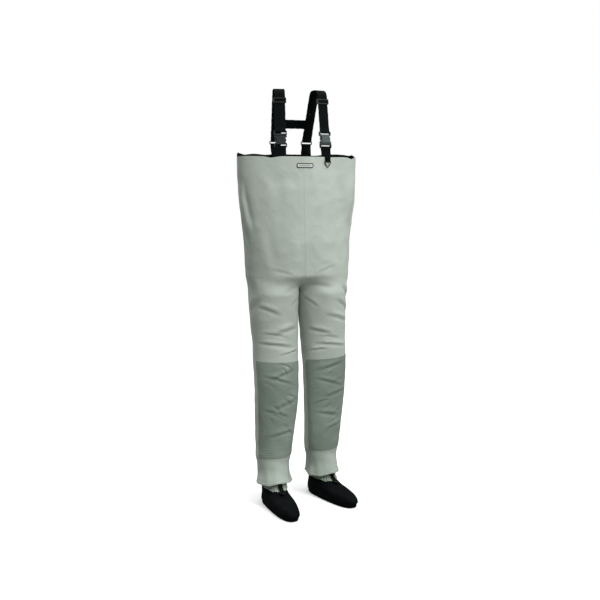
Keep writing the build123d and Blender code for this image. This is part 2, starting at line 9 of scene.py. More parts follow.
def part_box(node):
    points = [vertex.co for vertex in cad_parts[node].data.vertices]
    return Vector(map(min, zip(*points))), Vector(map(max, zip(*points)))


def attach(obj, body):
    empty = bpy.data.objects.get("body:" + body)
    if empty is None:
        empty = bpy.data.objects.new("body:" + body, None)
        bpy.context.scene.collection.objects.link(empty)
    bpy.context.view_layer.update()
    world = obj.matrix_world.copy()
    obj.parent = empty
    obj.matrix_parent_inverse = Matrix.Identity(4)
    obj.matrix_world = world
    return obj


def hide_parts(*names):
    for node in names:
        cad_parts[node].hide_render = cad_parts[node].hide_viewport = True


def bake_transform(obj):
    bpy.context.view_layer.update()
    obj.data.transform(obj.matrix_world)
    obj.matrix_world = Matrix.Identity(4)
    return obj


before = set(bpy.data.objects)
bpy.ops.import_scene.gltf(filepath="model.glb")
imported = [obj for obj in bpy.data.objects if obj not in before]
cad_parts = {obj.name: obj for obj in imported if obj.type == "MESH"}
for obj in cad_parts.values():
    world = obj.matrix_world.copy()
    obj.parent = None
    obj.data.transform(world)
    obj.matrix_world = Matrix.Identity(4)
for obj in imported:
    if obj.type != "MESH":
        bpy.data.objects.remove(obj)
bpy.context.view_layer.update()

print("frame loaded")

# the waders' form, in metres: the same rules as the CAD, so that every layer fits its solid
form = {
    "rim": 1.320, "backRimRise": 0.014, "crotch": 0.805, "crotchRise": 0.075,
    "patchTop": 0.556, "patchBottom": 0.190, "guardHem": 0.090, "hemBand": 0.009,
    "sockTop": 0.118, "ankle": 0.085, "hipHalfWidth": 0.098, "guardForward": 0.009,
    "wall": 0.002, "gap": 0.0003, "facingDepth": 0.068, "facingWall": 0.0012, "tapeWidth": 0.022,
    "rimHalfWidth": 0.236, "rimHalfDepth": 0.085,
    "originShift": 0.092749,  # the CAD's origin stands under the middle of its box
}
stance = {
    "right": {"side": -1, "ankle": (-0.124, -0.072), "kneeX": -0.095, "turnOut": -4.0},
    "left": {"side": 1, "ankle": (0.088, -0.026), "kneeX": 0.107, "turnOut": 17.0},
}
legSizes = [  # height, half width, half depth
    (0.090, 0.0620, 0.0740), (0.190, 0.0695, 0.0600), (0.256, 0.0750, 0.0600),
    (0.330, 0.0795, 0.0620), (0.425, 0.0860, 0.0660), (0.520, 0.0885, 0.0670),
    (0.615, 0.0895, 0.0710), (0.700, 0.0930, 0.0790), (0.760, 0.0955, 0.0850),
    (0.805, 0.0980, 0.0900),
]
bodySizes = [
    (0.805, 0.200, 0.098), (0.880, 0.206, 0.103), (1.000, 0.211, 0.101), (1.085, 0.220, 0.095),
    (1.160, 0.230, 0.091), (1.235, 0.234, 0.087), (1.320, 0.236, 0.085),
]
faceNames = {-1: "front", 1: "back"}
soleWall = 0.0055
sockSizes = [  # height, back to the heel, forward to the toe, half width
    (soleWall, 0.064, 0.209, 0.0475), (0.022, 0.068, 0.216, 0.0505), (0.040, 0.066, 0.198, 0.049),
    (0.054, 0.062, 0.128, 0.047), (0.068, 0.058, 0.093, 0.0445), (0.084, 0.056, 0.070, 0.0425),
    (0.118, 0.054, 0.058, 0.042),
]


def smooth(x):
    x = np.clip(x, 0.0, 1.0)
    return x * x * (3 - 2 * x)


def between(table, height):
    heights = [row[0] for row in table]
    return [np.interp(height, heights, [row[i] for row in table]) for i in range(1, len(table[0]))]


def legTurn(leg, height):
    drop = smooth((form["crotch"] - height) / (form["crotch"] - form["ankle"]))
    return radians(leg["side"] * leg["turnOut"]) * drop


def legCentre(leg, height):
    ankleX, ankleY = leg["ankle"]
    hipX = leg["side"] * form["hipHalfWidth"]
    kneeHeight = (form["patchTop"] + form["patchBottom"]) / 2 + 0.1
    thigh = smooth((form["crotch"] - height) / (form["crotch"] - kneeHeight))
    shin = smooth((kneeHeight - height) / (kneeHeight - form["ankle"]))
    x = np.where(height >= kneeHeight, hipX + thigh * (leg["kneeX"] - hipX),
                 leg["kneeX"] + shin * (ankleX - leg["kneeX"]))
    drop = np.clip((form["crotch"] - height) / (form["crotch"] - form["ankle"]), 0.0, 1.0)
    guard = (form["patchBottom"] - height) / (form["patchBottom"] - form["guardHem"])
    forward = form["guardForward"] * smooth(guard)
    turn = legTurn(leg, height)
    y = ankleY * drop**1.3 - forward * np.cos(turn) + form["originShift"]
    return x + forward * np.sin(turn), y


def shellPoint(leg, face, height, share):
    side = leg["side"]
    halfWidth, halfDepth = between(legSizes, height)
    centreX, centreY = legCentre(leg, height)
    turn = legTurn(leg, height)
    across = -side * halfWidth * np.cos(pi * share)
    along = face * halfDepth * np.sin(pi * share)
    legX = centreX + across * np.cos(turn) - along * np.sin(turn)
    legY = centreY + across * np.sin(turn) + along * np.cos(turn)
    joined = smooth((height - form["crotch"]) / form["crotchRise"])
    bodyWidth, bodyDepth = between(bodySizes, height)
    bodyX = side * bodyWidth * np.sin(pi * share / 2)
    bodyY = face * bodyDepth * np.cos(pi * share / 2) + form["originShift"]
    return legX + joined * (bodyX - legX), legY + joined * (bodyY - legY)


# shader nodes, written as Python expressions
class Signal:  # one output socket that operators work on
    def __init__(self, paint, socket):
        self.paint = paint
        self.socket = socket

    def maths(self, operation, *values):
        return self.paint.node("ShaderNodeMath", {"operation": operation}, values)

    def __neg__(self):
        return self.maths("MULTIPLY", self, -1.0)

    def __abs__(self):
        return self.maths("ABSOLUTE", self)

    def most(self, other):
        return self.maths("MAXIMUM", self, other)

    def wave(self):
        return self.maths("SINE", self)

    def above(self, edge, soft):  # 0 below the edge, 1 once past it by soft
        settings = {"interpolation_type": "SMOOTHSTEP"}
        return self.paint.node("ShaderNodeMapRange", settings, (self, edge, edge + soft))


def addOperator(word, operation):  # the operator and its reflected form
    setattr(Signal, f"__{word}__", lambda self, other: self.maths(operation, self, other))
    setattr(Signal, f"__r{word}__", lambda self, other: self.maths(operation, other, self))


for word, operation in (("add", "ADD"), ("sub", "SUBTRACT"), ("mul", "MULTIPLY"),
                        ("truediv", "DIVIDE"), ("pow", "POWER")):
    addOperator(word, operation)


class Paint:  # one material's nodes
    def __init__(self, name):
        self.material = bpy.data.materials.new(name)
        self.material.use_nodes = True
        self.tree = self.material.node_tree
        self.shader = self.tree.nodes["Principled BSDF"]

    def node(self, kind, settings, values=(), output=0):
        made = self.tree.nodes.new(kind)
        for name, value in settings.items():
            setattr(made, name, value)
        pairs = values.items() if isinstance(values, dict) else enumerate(values)
        for key, value in pairs:
            self.join(made.inputs[key], value)
        return Signal(self, made.outputs[output])

    def join(self, socket, value):
        if isinstance(value, Signal):
            self.tree.links.new(value.socket, socket)
        elif value is not None:
            socket.default_value = value

    def place(self, flat=False):
        return self.node("ShaderNodeTexCoord", {}, (), "UV" if flat else "Object")

    def axes(self, vector):
        split = self.node("ShaderNodeSeparateXYZ", {}, (vector,))
        outputs = split.socket.node.outputs
        return [Signal(self, outputs[i]) for i in range(3)]

    def grain(self, vector, scale, detail=3.0, rough=0.55):
        sizes = {"Vector": vector, "Scale": scale, "Detail": detail, "Roughness": rough}
        return self.node("ShaderNodeTexNoise", {}, sizes, "Fac")

    def blend(self, share, first, second):
        settings = {"data_type": "RGBA"}
        return self.node("ShaderNodeMix", settings, {0: share, 6: first, 7: second}, 2)

    def bump(self, height, distance, strength=1.0, under=None):
        sizes = {"Strength": strength, "Distance": distance, "Height": height, "Normal": under}
        return self.node("ShaderNodeBump", {}, sizes)

    def finish(self, **sockets):
        for name, value in sockets.items():
            self.join(self.shader.inputs[name.replace("_", " ")], value)
        return self.material


def rgb(red, green, blue):  # screen colour, 0 to 255, as linear light
    return tuple((c / 255 / 12.92) if c < 11 else ((c / 255 + 0.055) / 1.055) ** 2.4
                 for c in (red, green, blue)) + (1.0,)


def weaveHeight(paint, flat, pitch):  # plain weave: threads over and under in turn
    u, v, _ = paint.axes(flat)
    warp = (u * (2 * pi / pitch)).wave()
    weft = (v * (2 * pi / pitch)).wave()
    return (warp * weft) * 0.5 + 0.5


shellLook = {
    "light": rgb(183, 193, 183), "dark": rgb(172, 182, 172), "dirt": rgb(158, 168, 158),
    "pitch": 0.0013, "weave": 0.00006, "roughness": 0.62,
}


ripPitch = 0.006  # between the thicker threads of the ripstop


def shellPaint(name, look):
    paint = Paint(name)
    flat = paint.place(flat=True)
    spot = paint.place()
    broad = paint.grain(spot, 5.0, 3.0)
    fine = paint.grain(spot, 420.0, 2.0, 0.6)
    # darker patches and flecks: the cloth's own tone and dirt on the shell, patch and guard; on the cuff,
    # painted crinkle shade
    tone = paint.blend(broad.above(0.35, 0.3), look["light"], look["dark"])
    tone = paint.blend(fine.above(0.45, 0.4) * 0.35, tone, look["dirt"])
    u, v, _ = paint.axes(flat)
    across, along = [abs((way * (pi / ripPitch)).wave()).above(0.93, 0.07) for way in (u, v)]
    rip = across.most(along)
    height = weaveHeight(paint, flat, look["pitch"]) + rip * 0.5
    small = paint.bump(height, look["weave"], 0.7)
    crease = abs(paint.grain(spot, 26.0, 3.0) - 0.5) * -2.0
    normal = paint.bump(paint.grain(spot, 60.0, 4.0) + crease, 0.0016, 0.45, small)
    rough = look["roughness"] + (broad - 0.5) * 0.12 + (fine - 0.5) * 0.08
    return paint.finish(Base_Color=tone, Roughness=rough, Normal=normal, Specular_IOR_Level=0.28)


patchLook = {
    "light": rgb(136, 149, 137), "dark": rgb(122, 135, 124), "dirt": rgb(104, 117, 106),
    "pitch": 0.0018, "weave": 0.00012, "roughness": 0.7,
}
guardLook = {
    "light": rgb(176, 187, 176), "dark": rgb(160, 172, 161), "dirt": rgb(140, 152, 141),
    "pitch": 0.0013, "weave": 0.00006, "roughness": 0.64,
}
# the cuff is gathered guard cloth: its two darker tones, far darker than the guard's own, are painted shade
# standing in for its crinkles, spread at random by noise
cuffLook = {
    "light": rgb(165, 178, 163), "dark": rgb(112, 126, 112), "dirt": rgb(84, 96, 84),
    "pitch": 0.0013, "weave": 0.0001, "roughness": 0.6,
}


def sockPaint():
    paint = Paint("neoprene")
    spot = paint.place()
    broad = paint.grain(spot, 30.0, 4.0)
    knit = paint.grain(spot, 1400.0, 2.0, 0.7)
    tone = paint.blend(broad.above(0.4, 0.35), rgb(9, 11, 13), rgb(15, 18, 20))
    tone = paint.blend(knit.above(0.56, 0.2) * 0.5, tone, rgb(22, 25, 28))
    small = paint.bump(knit, 0.0004, 0.7)
    normal = paint.bump(broad, 0.002, 0.35, small)
    return paint.finish(Base_Color=tone, Roughness=0.82 + (broad - 0.5) * 0.2, Normal=normal,
                        Specular_IOR_Level=0.05)


def solePaint():
    paint = Paint("soleNeoprene")
    spot = paint.place()
    rib = (paint.axes(spot)[1] * (2 * pi / 0.004)).wave() * 0.5 + 0.5
    fine = paint.grain(spot, 700.0, 3.0)
    tone = paint.blend(fine.above(0.45, 0.3), rgb(10, 12, 13), rgb(22, 24, 26))
    normal = paint.bump(rib + fine * 0.6, 0.0006, 0.7)
    return paint.finish(Base_Color=tone, Roughness=0.75 + (fine - 0.5) * 0.2, Normal=normal,
                        Specular_IOR_Level=0.06)


def webbingPaint(name="webbing", tone=(4, 8, 8), worn=(14, 21, 21)):
    paint = Paint(name)
    flat = paint.place(flat=True)
    u, v, _ = paint.axes(flat)  # u across, v along, in metres
    pitch = 0.0022
    rows = (v * (2 * pi / pitch) + (u * (2 * pi / (2 * pitch))).wave() * 1.6).wave() * 0.5 + 0.5
    ends = (u * (2 * pi / pitch)).wave() * 0.5 + 0.5
    fuzz = paint.grain(paint.place(), 900.0, 3.0, 0.65)
    height = rows * 0.65 + ends * 0.35 + fuzz * 0.4
    edge = abs(u).above(0.0165, 0.002)
    colour = paint.blend(height.above(0.55, 0.55) * 0.55, rgb(*tone), rgb(*worn))
    colour = paint.blend(edge * 0.3, colour, rgb(*worn))
    normal = paint.bump(height, 0.0005, 0.9)
    return paint.finish(Base_Color=colour, Roughness=0.66 + (fuzz - 0.5) * 0.25, Normal=normal,
                        Specular_IOR_Level=0.05)


def facingPaint():
    paint = Paint("facingFabric")
    flat = paint.place(flat=True)
    fine = paint.grain(paint.place(), 600.0, 3.0)
    height = weaveHeight(paint, flat, 0.0016)
    tone = paint.blend(fine.above(0.4, 0.35) * 0.6, rgb(18, 20, 20), rgb(38, 41, 41))
    return paint.finish(Base_Color=tone, Roughness=0.8 + (fine - 0.5) * 0.15,
                        Normal=paint.bump(height, 0.00015, 0.8), Specular_IOR_Level=0.12)


def plainPaint(name, tone, worn, tint, rough, relief=None, speckle=0.0, **sockets):
    # tint is the noise's scale and detail, its edge, softness and share; rough is its middle and swing
    paint = Paint(name)
    spot = paint.place()
    scale, detail, edge, soft, share = tint
    wear = paint.grain(spot, scale, detail)
    colour = paint.blend(wear.above(edge, soft) * share, rgb(*tone), rgb(*worn))
    if relief:  # scale, detail and roughness of the noise, then the bump's distance and strength
        pits = paint.grain(spot, *relief[:3])
        sockets["Normal"] = paint.bump(pits, *relief[3:])
        if speckle:
            bright = rgb(*[c + 36 for c in worn])
            colour = paint.blend(pits.above(0.58, 0.1) * speckle, colour, bright)
    middle, swing = rough
    return paint.finish(Base_Color=colour, Roughness=middle + (wear - 0.5) * swing, **sockets)


def plasticPaint(name, tone, worn, rough, speckle=0.0):
    return plainPaint(name, tone, worn, (140.0, 4.0, 0.42, 0.25, 0.6), (rough, 0.18),
                      (1600.0, 2.0, 0.7, 0.00025, 0.6), speckle, Specular_IOR_Level=0.25)


def threadPaint(name, tone):
    return plainPaint(name, tone, [c * 0.8 for c in tone], (1500.0, 2.0, 0.4, 0.3, 0.5), (0.6, 0.2),
                      Specular_IOR_Level=0.1)


def badgePaint():
    low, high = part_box("chest_badge")
    halfWidth, halfHeight = (high.x - low.x) / 2, (high.z - low.z) / 2
    paint = Paint("badge")
    x, _, z = paint.axes(paint.place())
    corner = halfHeight * 0.8
    acrossOut = (abs(x - (low.x + high.x) / 2) - (halfWidth - corner)).most(0.0)
    upOut = (abs(z - (low.z + high.z) / 2) - (halfHeight - corner)).most(0.0)
    edge = (acrossOut * acrossOut + upOut * upOut) ** 0.5
    rim = edge.above(corner - 0.0034, 0.0005)
    ripple = z - (low.z + high.z) / 2 - (x * (2 * pi / 0.0115)).wave() * 0.0016  # a plain water line
    ends = abs(x - (low.x + high.x) / 2).above(halfWidth * 0.66, 0.001)
    inner = (1 - abs(ripple).above(0.0010, 0.0006)) * (1 - ends)
    fine = paint.grain(paint.place(), 900.0, 3.0)
    field = paint.blend(fine.above(0.4, 0.4) * 0.4, rgb(200, 208, 202), rgb(176, 185, 179))
    colour = paint.blend(inner * 0.85, field, rgb(50, 56, 54))
    colour = paint.blend(rim, colour, rgb(20, 22, 22))
    normal = paint.bump(inner * 0.6 + rim + fine * 0.15, 0.0005, 0.8)
    return paint.finish(Base_Color=colour, Roughness=0.5 + rim * 0.1, Normal=normal)


paints = {
    "shell": shellPaint("shellFabric", shellLook), "patch": shellPaint("patchFabric", patchLook),
    "guard": shellPaint("guardFabric", guardLook), "cuff": shellPaint("cuffFabric", cuffLook),
    "sock": sockPaint(), "sole": solePaint(), "webbing": webbingPaint(),
    "rimElastic": webbingPaint("rimElastic", (8, 10, 10), (24, 28, 28)),
    "facing": facingPaint(), "badge": badgePaint(),
    "tape": plainPaint("seamTape", (122, 130, 126), (140, 148, 143), (300.0, 3.0, 0.4, 0.3, 1.0),
                       (0.42, 0.2), (300.0, 3.0, 0.55, 0.0002, 0.5)),
    "metal": plainPaint("darkMetal", (52, 54, 56), (122, 125, 128), (160.0, 4.0, 0.52, 0.2, 0.6),
                        (0.34, 0.3), (900.0, 4.0, 0.55, 0.00008, 0.5), Metallic=0.9),
    "greyPlastic": plasticPaint("greyPlastic", (66, 76, 77), (80, 90, 91), 0.5, 0.25),
    "darkPlastic": plasticPaint("darkPlastic", (23, 29, 31), (38, 45, 48), 0.42, 0.3),
    "blackPlastic": plasticPaint("blackPlastic", (10, 12, 13), (20, 23, 24), 0.52),
    "thread": threadPaint("paleThread", (196, 203, 192)),
    "darkThread": threadPaint("darkThread", (30, 33, 33)),
}
print("materials made")


# mesh helpers
def deselectAll():
    for item in list(bpy.context.selected_objects):
        item.select_set(False)


def choose(pieces):  # selects these alone, the first of them active
    deselectAll()
    for item in pieces:
        item.select_set(True)
    bpy.context.view_layer.objects.active = pieces[0]


def editWhole(piece, step, **settings):
    choose([piece])
    bpy.ops.object.mode_set(mode="EDIT")
    bpy.ops.mesh.select_all(action="SELECT")
    step(**settings)
    bpy.ops.object.mode_set(mode="OBJECT")


def pieceName(node):  # front_panel_left becomes frontPanelLeft
    first, *others = node.split("_")
    return first + "".join(word.capitalize() for word in others)


def startGrid(name, columns, rows):
    deselectAll()
    bpy.ops.mesh.primitive_grid_add(x_subdivisions=columns, y_subdivisions=rows, size=1.0)
    piece = bpy.context.object
    piece.name = name
    piece.data.name = name
    return piece


def placeGrid(piece, points, flat):  # points and flat run row by row, as the grid's vertices do
    mesh = piece.data
    mesh.vertices.foreach_set("co", np.asarray(points, float).reshape(-1))
    corner = np.zeros(len(mesh.loops), int)
    mesh.loops.foreach_get("vertex_index", corner)
    spread = np.asarray(flat, float).reshape(-1, 2)[corner]
    mesh.uv_layers.active.data.foreach_set("uv", spread.reshape(-1))
    mesh.update()


def applyAll(piece):
    bpy.context.view_layer.objects.active = piece
    for modifier in list(piece.modifiers):
        bpy.ops.object.modifier_apply(modifier=modifier.name)


def addWall(piece, thickness, offset=-1.0):
    wall = piece.modifiers.new("wall", "SOLIDIFY")
    wall.thickness = thickness
    wall.offset = offset
    wall.use_rim = True
    applyAll(piece)


def smoothShade(piece, angle=40.0):
    choose([piece])
    bpy.ops.object.shade_smooth_by_angle(angle=radians(angle))


def dress(piece, paint, slot, body="waders"):
    piece.data.materials.clear()
    piece.data.materials.append(paints[paint])
    if body:
        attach(piece, body)
    return piece


def settle(piece, node, paint, slot, angle=40.0):  # a piece that takes the place of a CAD node
    smoothShade(piece, angle)
    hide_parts(node)
    return dress(piece, paint, slot)


def outward(piece, centre):  # turns a shell's faces away from its own middle line
    mesh = piece.data
    sample = list(mesh.polygons)[::7]
    if sum(face.normal.dot(face.center - Vector(centre(face.center))) for face in sample) < 0:
        mesh.flip_normals()


def joinPieces(pieces, name):
    choose(pieces)
    bpy.ops.object.join()
    pieces[0].name = name
    return pieces[0]


# folds: each runs from one place to another on a leg, in share round the shell and height
# share goes 0 at the centre or inseam, 1 at the side seam, up to 2 round the back
folds = {
    "right": [  # start share, height, end share, height, half width, depth
        (0.78, 1.250, 0.66, 1.020, 0.030, 0.0060), (0.92, 1.160, 0.80, 0.960, 0.022, 0.0050),
        (0.30, 1.300, 0.24, 1.090, 0.035, 0.0030), (0.46, 1.080, 0.34, 0.880, 0.030, 0.0030),
        (0.10, 0.872, 0.48, 0.902, 0.010, 0.0018), (0.07, 0.838, 0.52, 0.800, 0.012, 0.0036),
        (0.07, 0.800, 0.36, 0.752, 0.011, 0.0032), (0.72, 0.800, 0.95, 0.730, 0.018, 0.0045),
        (0.15, 0.676, 0.62, 0.650, 0.016, 0.0066), (0.26, 0.600, 0.88, 0.622, 0.011, 0.0066),
        (0.12, 0.588, 0.55, 0.572, 0.007, 0.0050), (0.35, 0.640, 0.80, 0.660, 0.009, 0.0040),
        (0.45, 0.720, 0.85, 0.765, 0.014, 0.0050), (0.20, 0.520, 0.75, 0.470, 0.013, 0.0040),
        (0.25, 0.452, 0.82, 0.500, 0.011, 0.0032), (0.15, 0.405, 0.70, 0.360, 0.015, 0.0036),
        (0.30, 0.330, 0.85, 0.372, 0.012, 0.0030), (0.18, 0.282, 0.75, 0.262, 0.013, 0.0034),
        (1.15, 0.870, 1.70, 0.800, 0.020, 0.0060), (1.25, 0.780, 1.85, 0.745, 0.015, 0.0050),
        (1.20, 0.560, 1.75, 0.535, 0.014, 0.0060), (1.15, 0.520, 1.80, 0.500, 0.012, 0.0055),
        (1.22, 0.478, 1.70, 0.455, 0.011, 0.0040), (1.20, 1.230, 1.36, 1.000, 0.030, 0.0050),
        (1.62, 1.240, 1.56, 0.990, 0.030, 0.0045), (1.20, 0.330, 1.75, 0.300, 0.018, 0.0040),
    ],
    "left": [
        (0.84, 1.235, 0.74, 1.020, 0.026, 0.0040), (0.40, 1.270, 0.52, 1.060, 0.036, 0.0028),
        (0.60, 1.020, 0.82, 0.900, 0.024, 0.0036), (0.10, 0.876, 0.46, 0.915, 0.010, 0.0018),
        (0.07, 0.842, 0.55, 0.822, 0.012, 0.0036), (0.07, 0.800, 0.40, 0.742, 0.011, 0.0034),
        (0.62, 0.842, 0.98, 0.760, 0.015, 0.0060), (0.55, 0.786, 0.96, 0.712, 0.013, 0.0050),
        (0.40, 0.726, 0.90, 0.680, 0.013, 0.0062), (0.14, 0.668, 0.58, 0.640, 0.013, 0.0062),
        (0.22, 0.612, 0.86, 0.588, 0.010, 0.0064), (0.15, 0.578, 0.50, 0.590, 0.007, 0.0045),
        (0.30, 0.640, 0.70, 0.626, 0.008, 0.0036),
        (0.22, 0.500, 0.80, 0.532, 0.012, 0.0038), (0.20, 0.476, 0.72, 0.430, 0.012, 0.0036),
        (0.30, 0.392, 0.85, 0.420, 0.013, 0.0034), (0.18, 0.340, 0.72, 0.312, 0.013, 0.0036),
        (0.30, 0.262, 0.80, 0.288, 0.012, 0.0030), (1.18, 0.860, 1.72, 0.806, 0.020, 0.0058),
        (1.28, 0.786, 1.84, 0.740, 0.015, 0.0048), (1.20, 0.566, 1.78, 0.545, 0.014, 0.0060),
        (1.25, 0.524, 1.82, 0.498, 0.012, 0.0050), (1.15, 0.470, 1.66, 0.452, 0.011, 0.0042),
        (1.24, 1.220, 1.40, 0.990, 0.030, 0.0046), (1.66, 1.230, 1.60, 1.000, 0.028, 0.0042),
        (1.22, 0.345, 1.72, 0.318, 0.018, 0.0040),
    ],
}
foldStrength = 0.78
foldReach = 0.27  # metres of fabric from the centre seam to the side seam
fineCreases = {  # short creases across a patch: height of the first, step to the next, run of each
    "right": {"first": 0.535, "step": -0.0235, "run": (0.26, 0.046), "count": 13},
    "left": {"first": 0.520, "step": -0.0255, "run": (0.28, 0.034), "count": 12},
}
patchFolds = {}
for legName, crease in fineCreases.items():
    patchFolds[legName] = []
    for i in range(crease["count"]):
        startShare = 0.13 + (0.09 + 0.078 * i * (1 + 0.13 * (i % 3))) % 0.50
        startHeight = crease["first"] + crease["step"] * i
        grow = 0.75 + 0.35 * sin(2.3 * i)
        endShare = startShare + crease["run"][0] * grow
        endHeight = startHeight + crease["run"][1] * (1.3 - 0.5 * grow)
        halfWidth, depth = 0.0094 + 0.0024 * cos(1.7 * i), 0.0023 * (0.8 + 0.35 * sin(1.1 * i))
        patchFolds[legName].append((startShare, startHeight, endShare, endHeight, halfWidth, depth))


def foldDepth(rows, face, shares, heights):  # how far the cloth moves outwards, in metres
    around = np.where(face < 0, shares, 2.0 - shares)
    total = np.zeros(np.broadcast(around, heights).shape)
    for startShare, startHeight, endShare, endHeight, width, depth in rows:
        ax, az = startShare * foldReach, startHeight
        bx, bz = endShare * foldReach, endHeight
        runX, runZ = bx - ax, bz - az
        length = hypot(runX, runZ)
        along = ((around * foldReach - ax) * runX + (heights - az) * runZ) / length**2
        off = ((around * foldReach - ax) * -runZ + (heights - az) * runX) / length
        off = off - 0.006 * np.sin(along * pi)  # creases bow a little
        ends = smooth(along / 0.42) * smooth((1 - along) / 0.42)
        valley = -np.exp(-(off / (width * 0.55))**2)
        ridge = 0.75 * np.exp(-((off - width * 0.95) / (width * 0.7))**2)
        total += foldStrength * depth * ends * (valley + ridge)
    return total


def softNoise(points, scale, seed):
    values = [noise.noise(Vector((x * scale + seed, y * scale, z * scale)))
              for x, y, z in points.reshape(-1, 3)]
    return np.array(values).reshape(points.shape[:-1])


shellDetail = {
    "columns": 84, "rowStep": 0.0045, "wallShare": 0.9, "swell": 0.0022, "ripple": 0.0007,
    "crumple": 0.0011, "seamRidge": 0.0007, "seamCalm": 0.10, "underPatch": 0.0032,
}


def shellRows(low, high, step):
    return np.linspace(low, high, max(3, int(round((high - low) / step)) + 1))


def shellSurface(legName, face, shares, heights, offset, extra=0.0):  # grids of share and height
    leg = stance[legName]
    x, y = shellPoint(leg, face, heights, shares)
    step = 0.0005
    x1, y1 = shellPoint(leg, face, heights, shares - step)
    x2, y2 = shellPoint(leg, face, heights, shares + step)
    alongX, alongY = x2 - x1, y2 - y1
    length = np.hypot(alongX, alongY)
    inwards = leg["side"] * face
    outX, outY = -inwards * alongY / length, inwards * alongX / length
    points = np.stack([x, y, heights], -1)
    swell = softNoise(points, 7.0, 3.1) * shellDetail["swell"]
    swell = swell + softNoise(points, 24.0, 9.4) * shellDetail["ripple"]
    seamCalm = smooth(shares / shellDetail["seamCalm"])  # the cloth lies still beside the centre seam
    move = (foldDepth(folds[legName], face, shares, heights) + swell) * seamCalm
    crumple = 0.5 - np.abs(softNoise(points, 15.0, 5.7)) * 2.2
    move = move + shellDetail["crumple"] * crumple * seamCalm
    rimCalm = 0.15 + 0.85 * smooth((form["rim"] - heights) / 0.10)
    hemCalm = smooth((heights - form["patchBottom"]) / 0.03)
    move = move * rimCalm * hemCalm + offset + extra
    z = heights - rimDip(legName, face, shares) * smooth((heights - 1.235) / 0.085)
    return np.stack([x + outX * move, y + outY * move, z], -1)


rimDips = {  # share round the front or back, half width, depth
    ("right", -1): [(0.36, 0.07, 0.0050), (0.70, 0.16, -0.0012)],
    ("left", -1): [(0.66, 0.08, 0.0062), (0.30, 0.10, 0.0012)],
    ("right", 1): [(0.30, 0.08, 0.0030), (0.62, 0.10, 0.0044), (0.85, 0.06, -0.0012)],
    ("left", 1): [(0.26, 0.09, 0.0040), (0.52, 0.07, -0.0012), (0.78, 0.09, 0.0044)],
}


def rimDip(legName, face, shares):  # the top edge isn't level: it sags between what holds it up
    return sum(depth * np.exp(-((shares - place) / width)**2)
               for place, width, depth in rimDips[(legName, face)])


def seamRidge(shares):  # the felled seam's thickness beside each edge
    nearCentre = smooth(1 - shares / 0.022)
    nearSide = smooth(1 - (1 - shares) / 0.020)
    return shellDetail["seamRidge"] * np.maximum(nearCentre, nearSide)


def shareGrid(start, end, columns):  # closer together beside the seams
    t = np.linspace(0.0, 1.0, columns)
    eased = t - 0.11 * np.sin(2 * pi * t)
    return start + (end - start) * eased


def shellPiece(name, legName, face, start, end, heights, offset, wall, columns, extra=None, curve=None):
    shares = shareGrid(start, end, columns)
    share, height = np.meshgrid(shares, heights)
    if curve is not None:
        share, height = curve(share, height)
    more = 0.0 if extra is None else extra(share, height)
    points = shellSurface(legName, face, share, height, offset, more)
    piece = startGrid(name, columns - 1, len(heights) - 1)
    flat = np.stack([share * foldReach, height], -1)
    placeGrid(piece, points, flat)
    leg = stance[legName]

    def middle(at):
        if at.z > form["crotch"] + form["crotchRise"]:
            return (0.0, form["originShift"], at.z)
        x, y = legCentre(leg, np.array(at.z))
        return (float(x), float(y), at.z)
    outward(piece, middle)
    addWall(piece, wall)
    return piece


def underPatch(share, height):  # the panel lies a little lower where its patch covers it
    edge = np.minimum.reduce([(share - 0.07) * foldReach, (0.90 - share) * foldReach,
                              height - form["patchBottom"], form["patchTop"] - 0.034 - height])
    return -shellDetail["underPatch"] * smooth((edge - 0.004) / 0.010)


def makeShell():
    low, high = form["patchBottom"], form["rim"]
    heights = shellRows(low, high, shellDetail["rowStep"])

    def raised(share, height):
        return seamRidge(share) + (underPatch(share, height) if face < 0 else 0.0)

    for legName in stance:
        for face, faceName in faceNames.items():
            node = f"{faceName}_panel_{legName}"
            piece = shellPiece(pieceName(node), legName, face, 0.0, 1.0, heights, 0.0,
                               form["wall"] * shellDetail["wallShare"], shellDetail["columns"], raised)
            settle(piece, node, "shell", "shell_fabric")
    print("shell panels made")


patch = {
    "wall": 0.0011, "start": 0.07, "end": 0.90, "slant": 0.012, "pleat": 0.0009, "pleatPitch": 0.0088,
    "corner": 0.022, "reach": 0.150, "rowStep": 0.0020, "columns": 96,
}


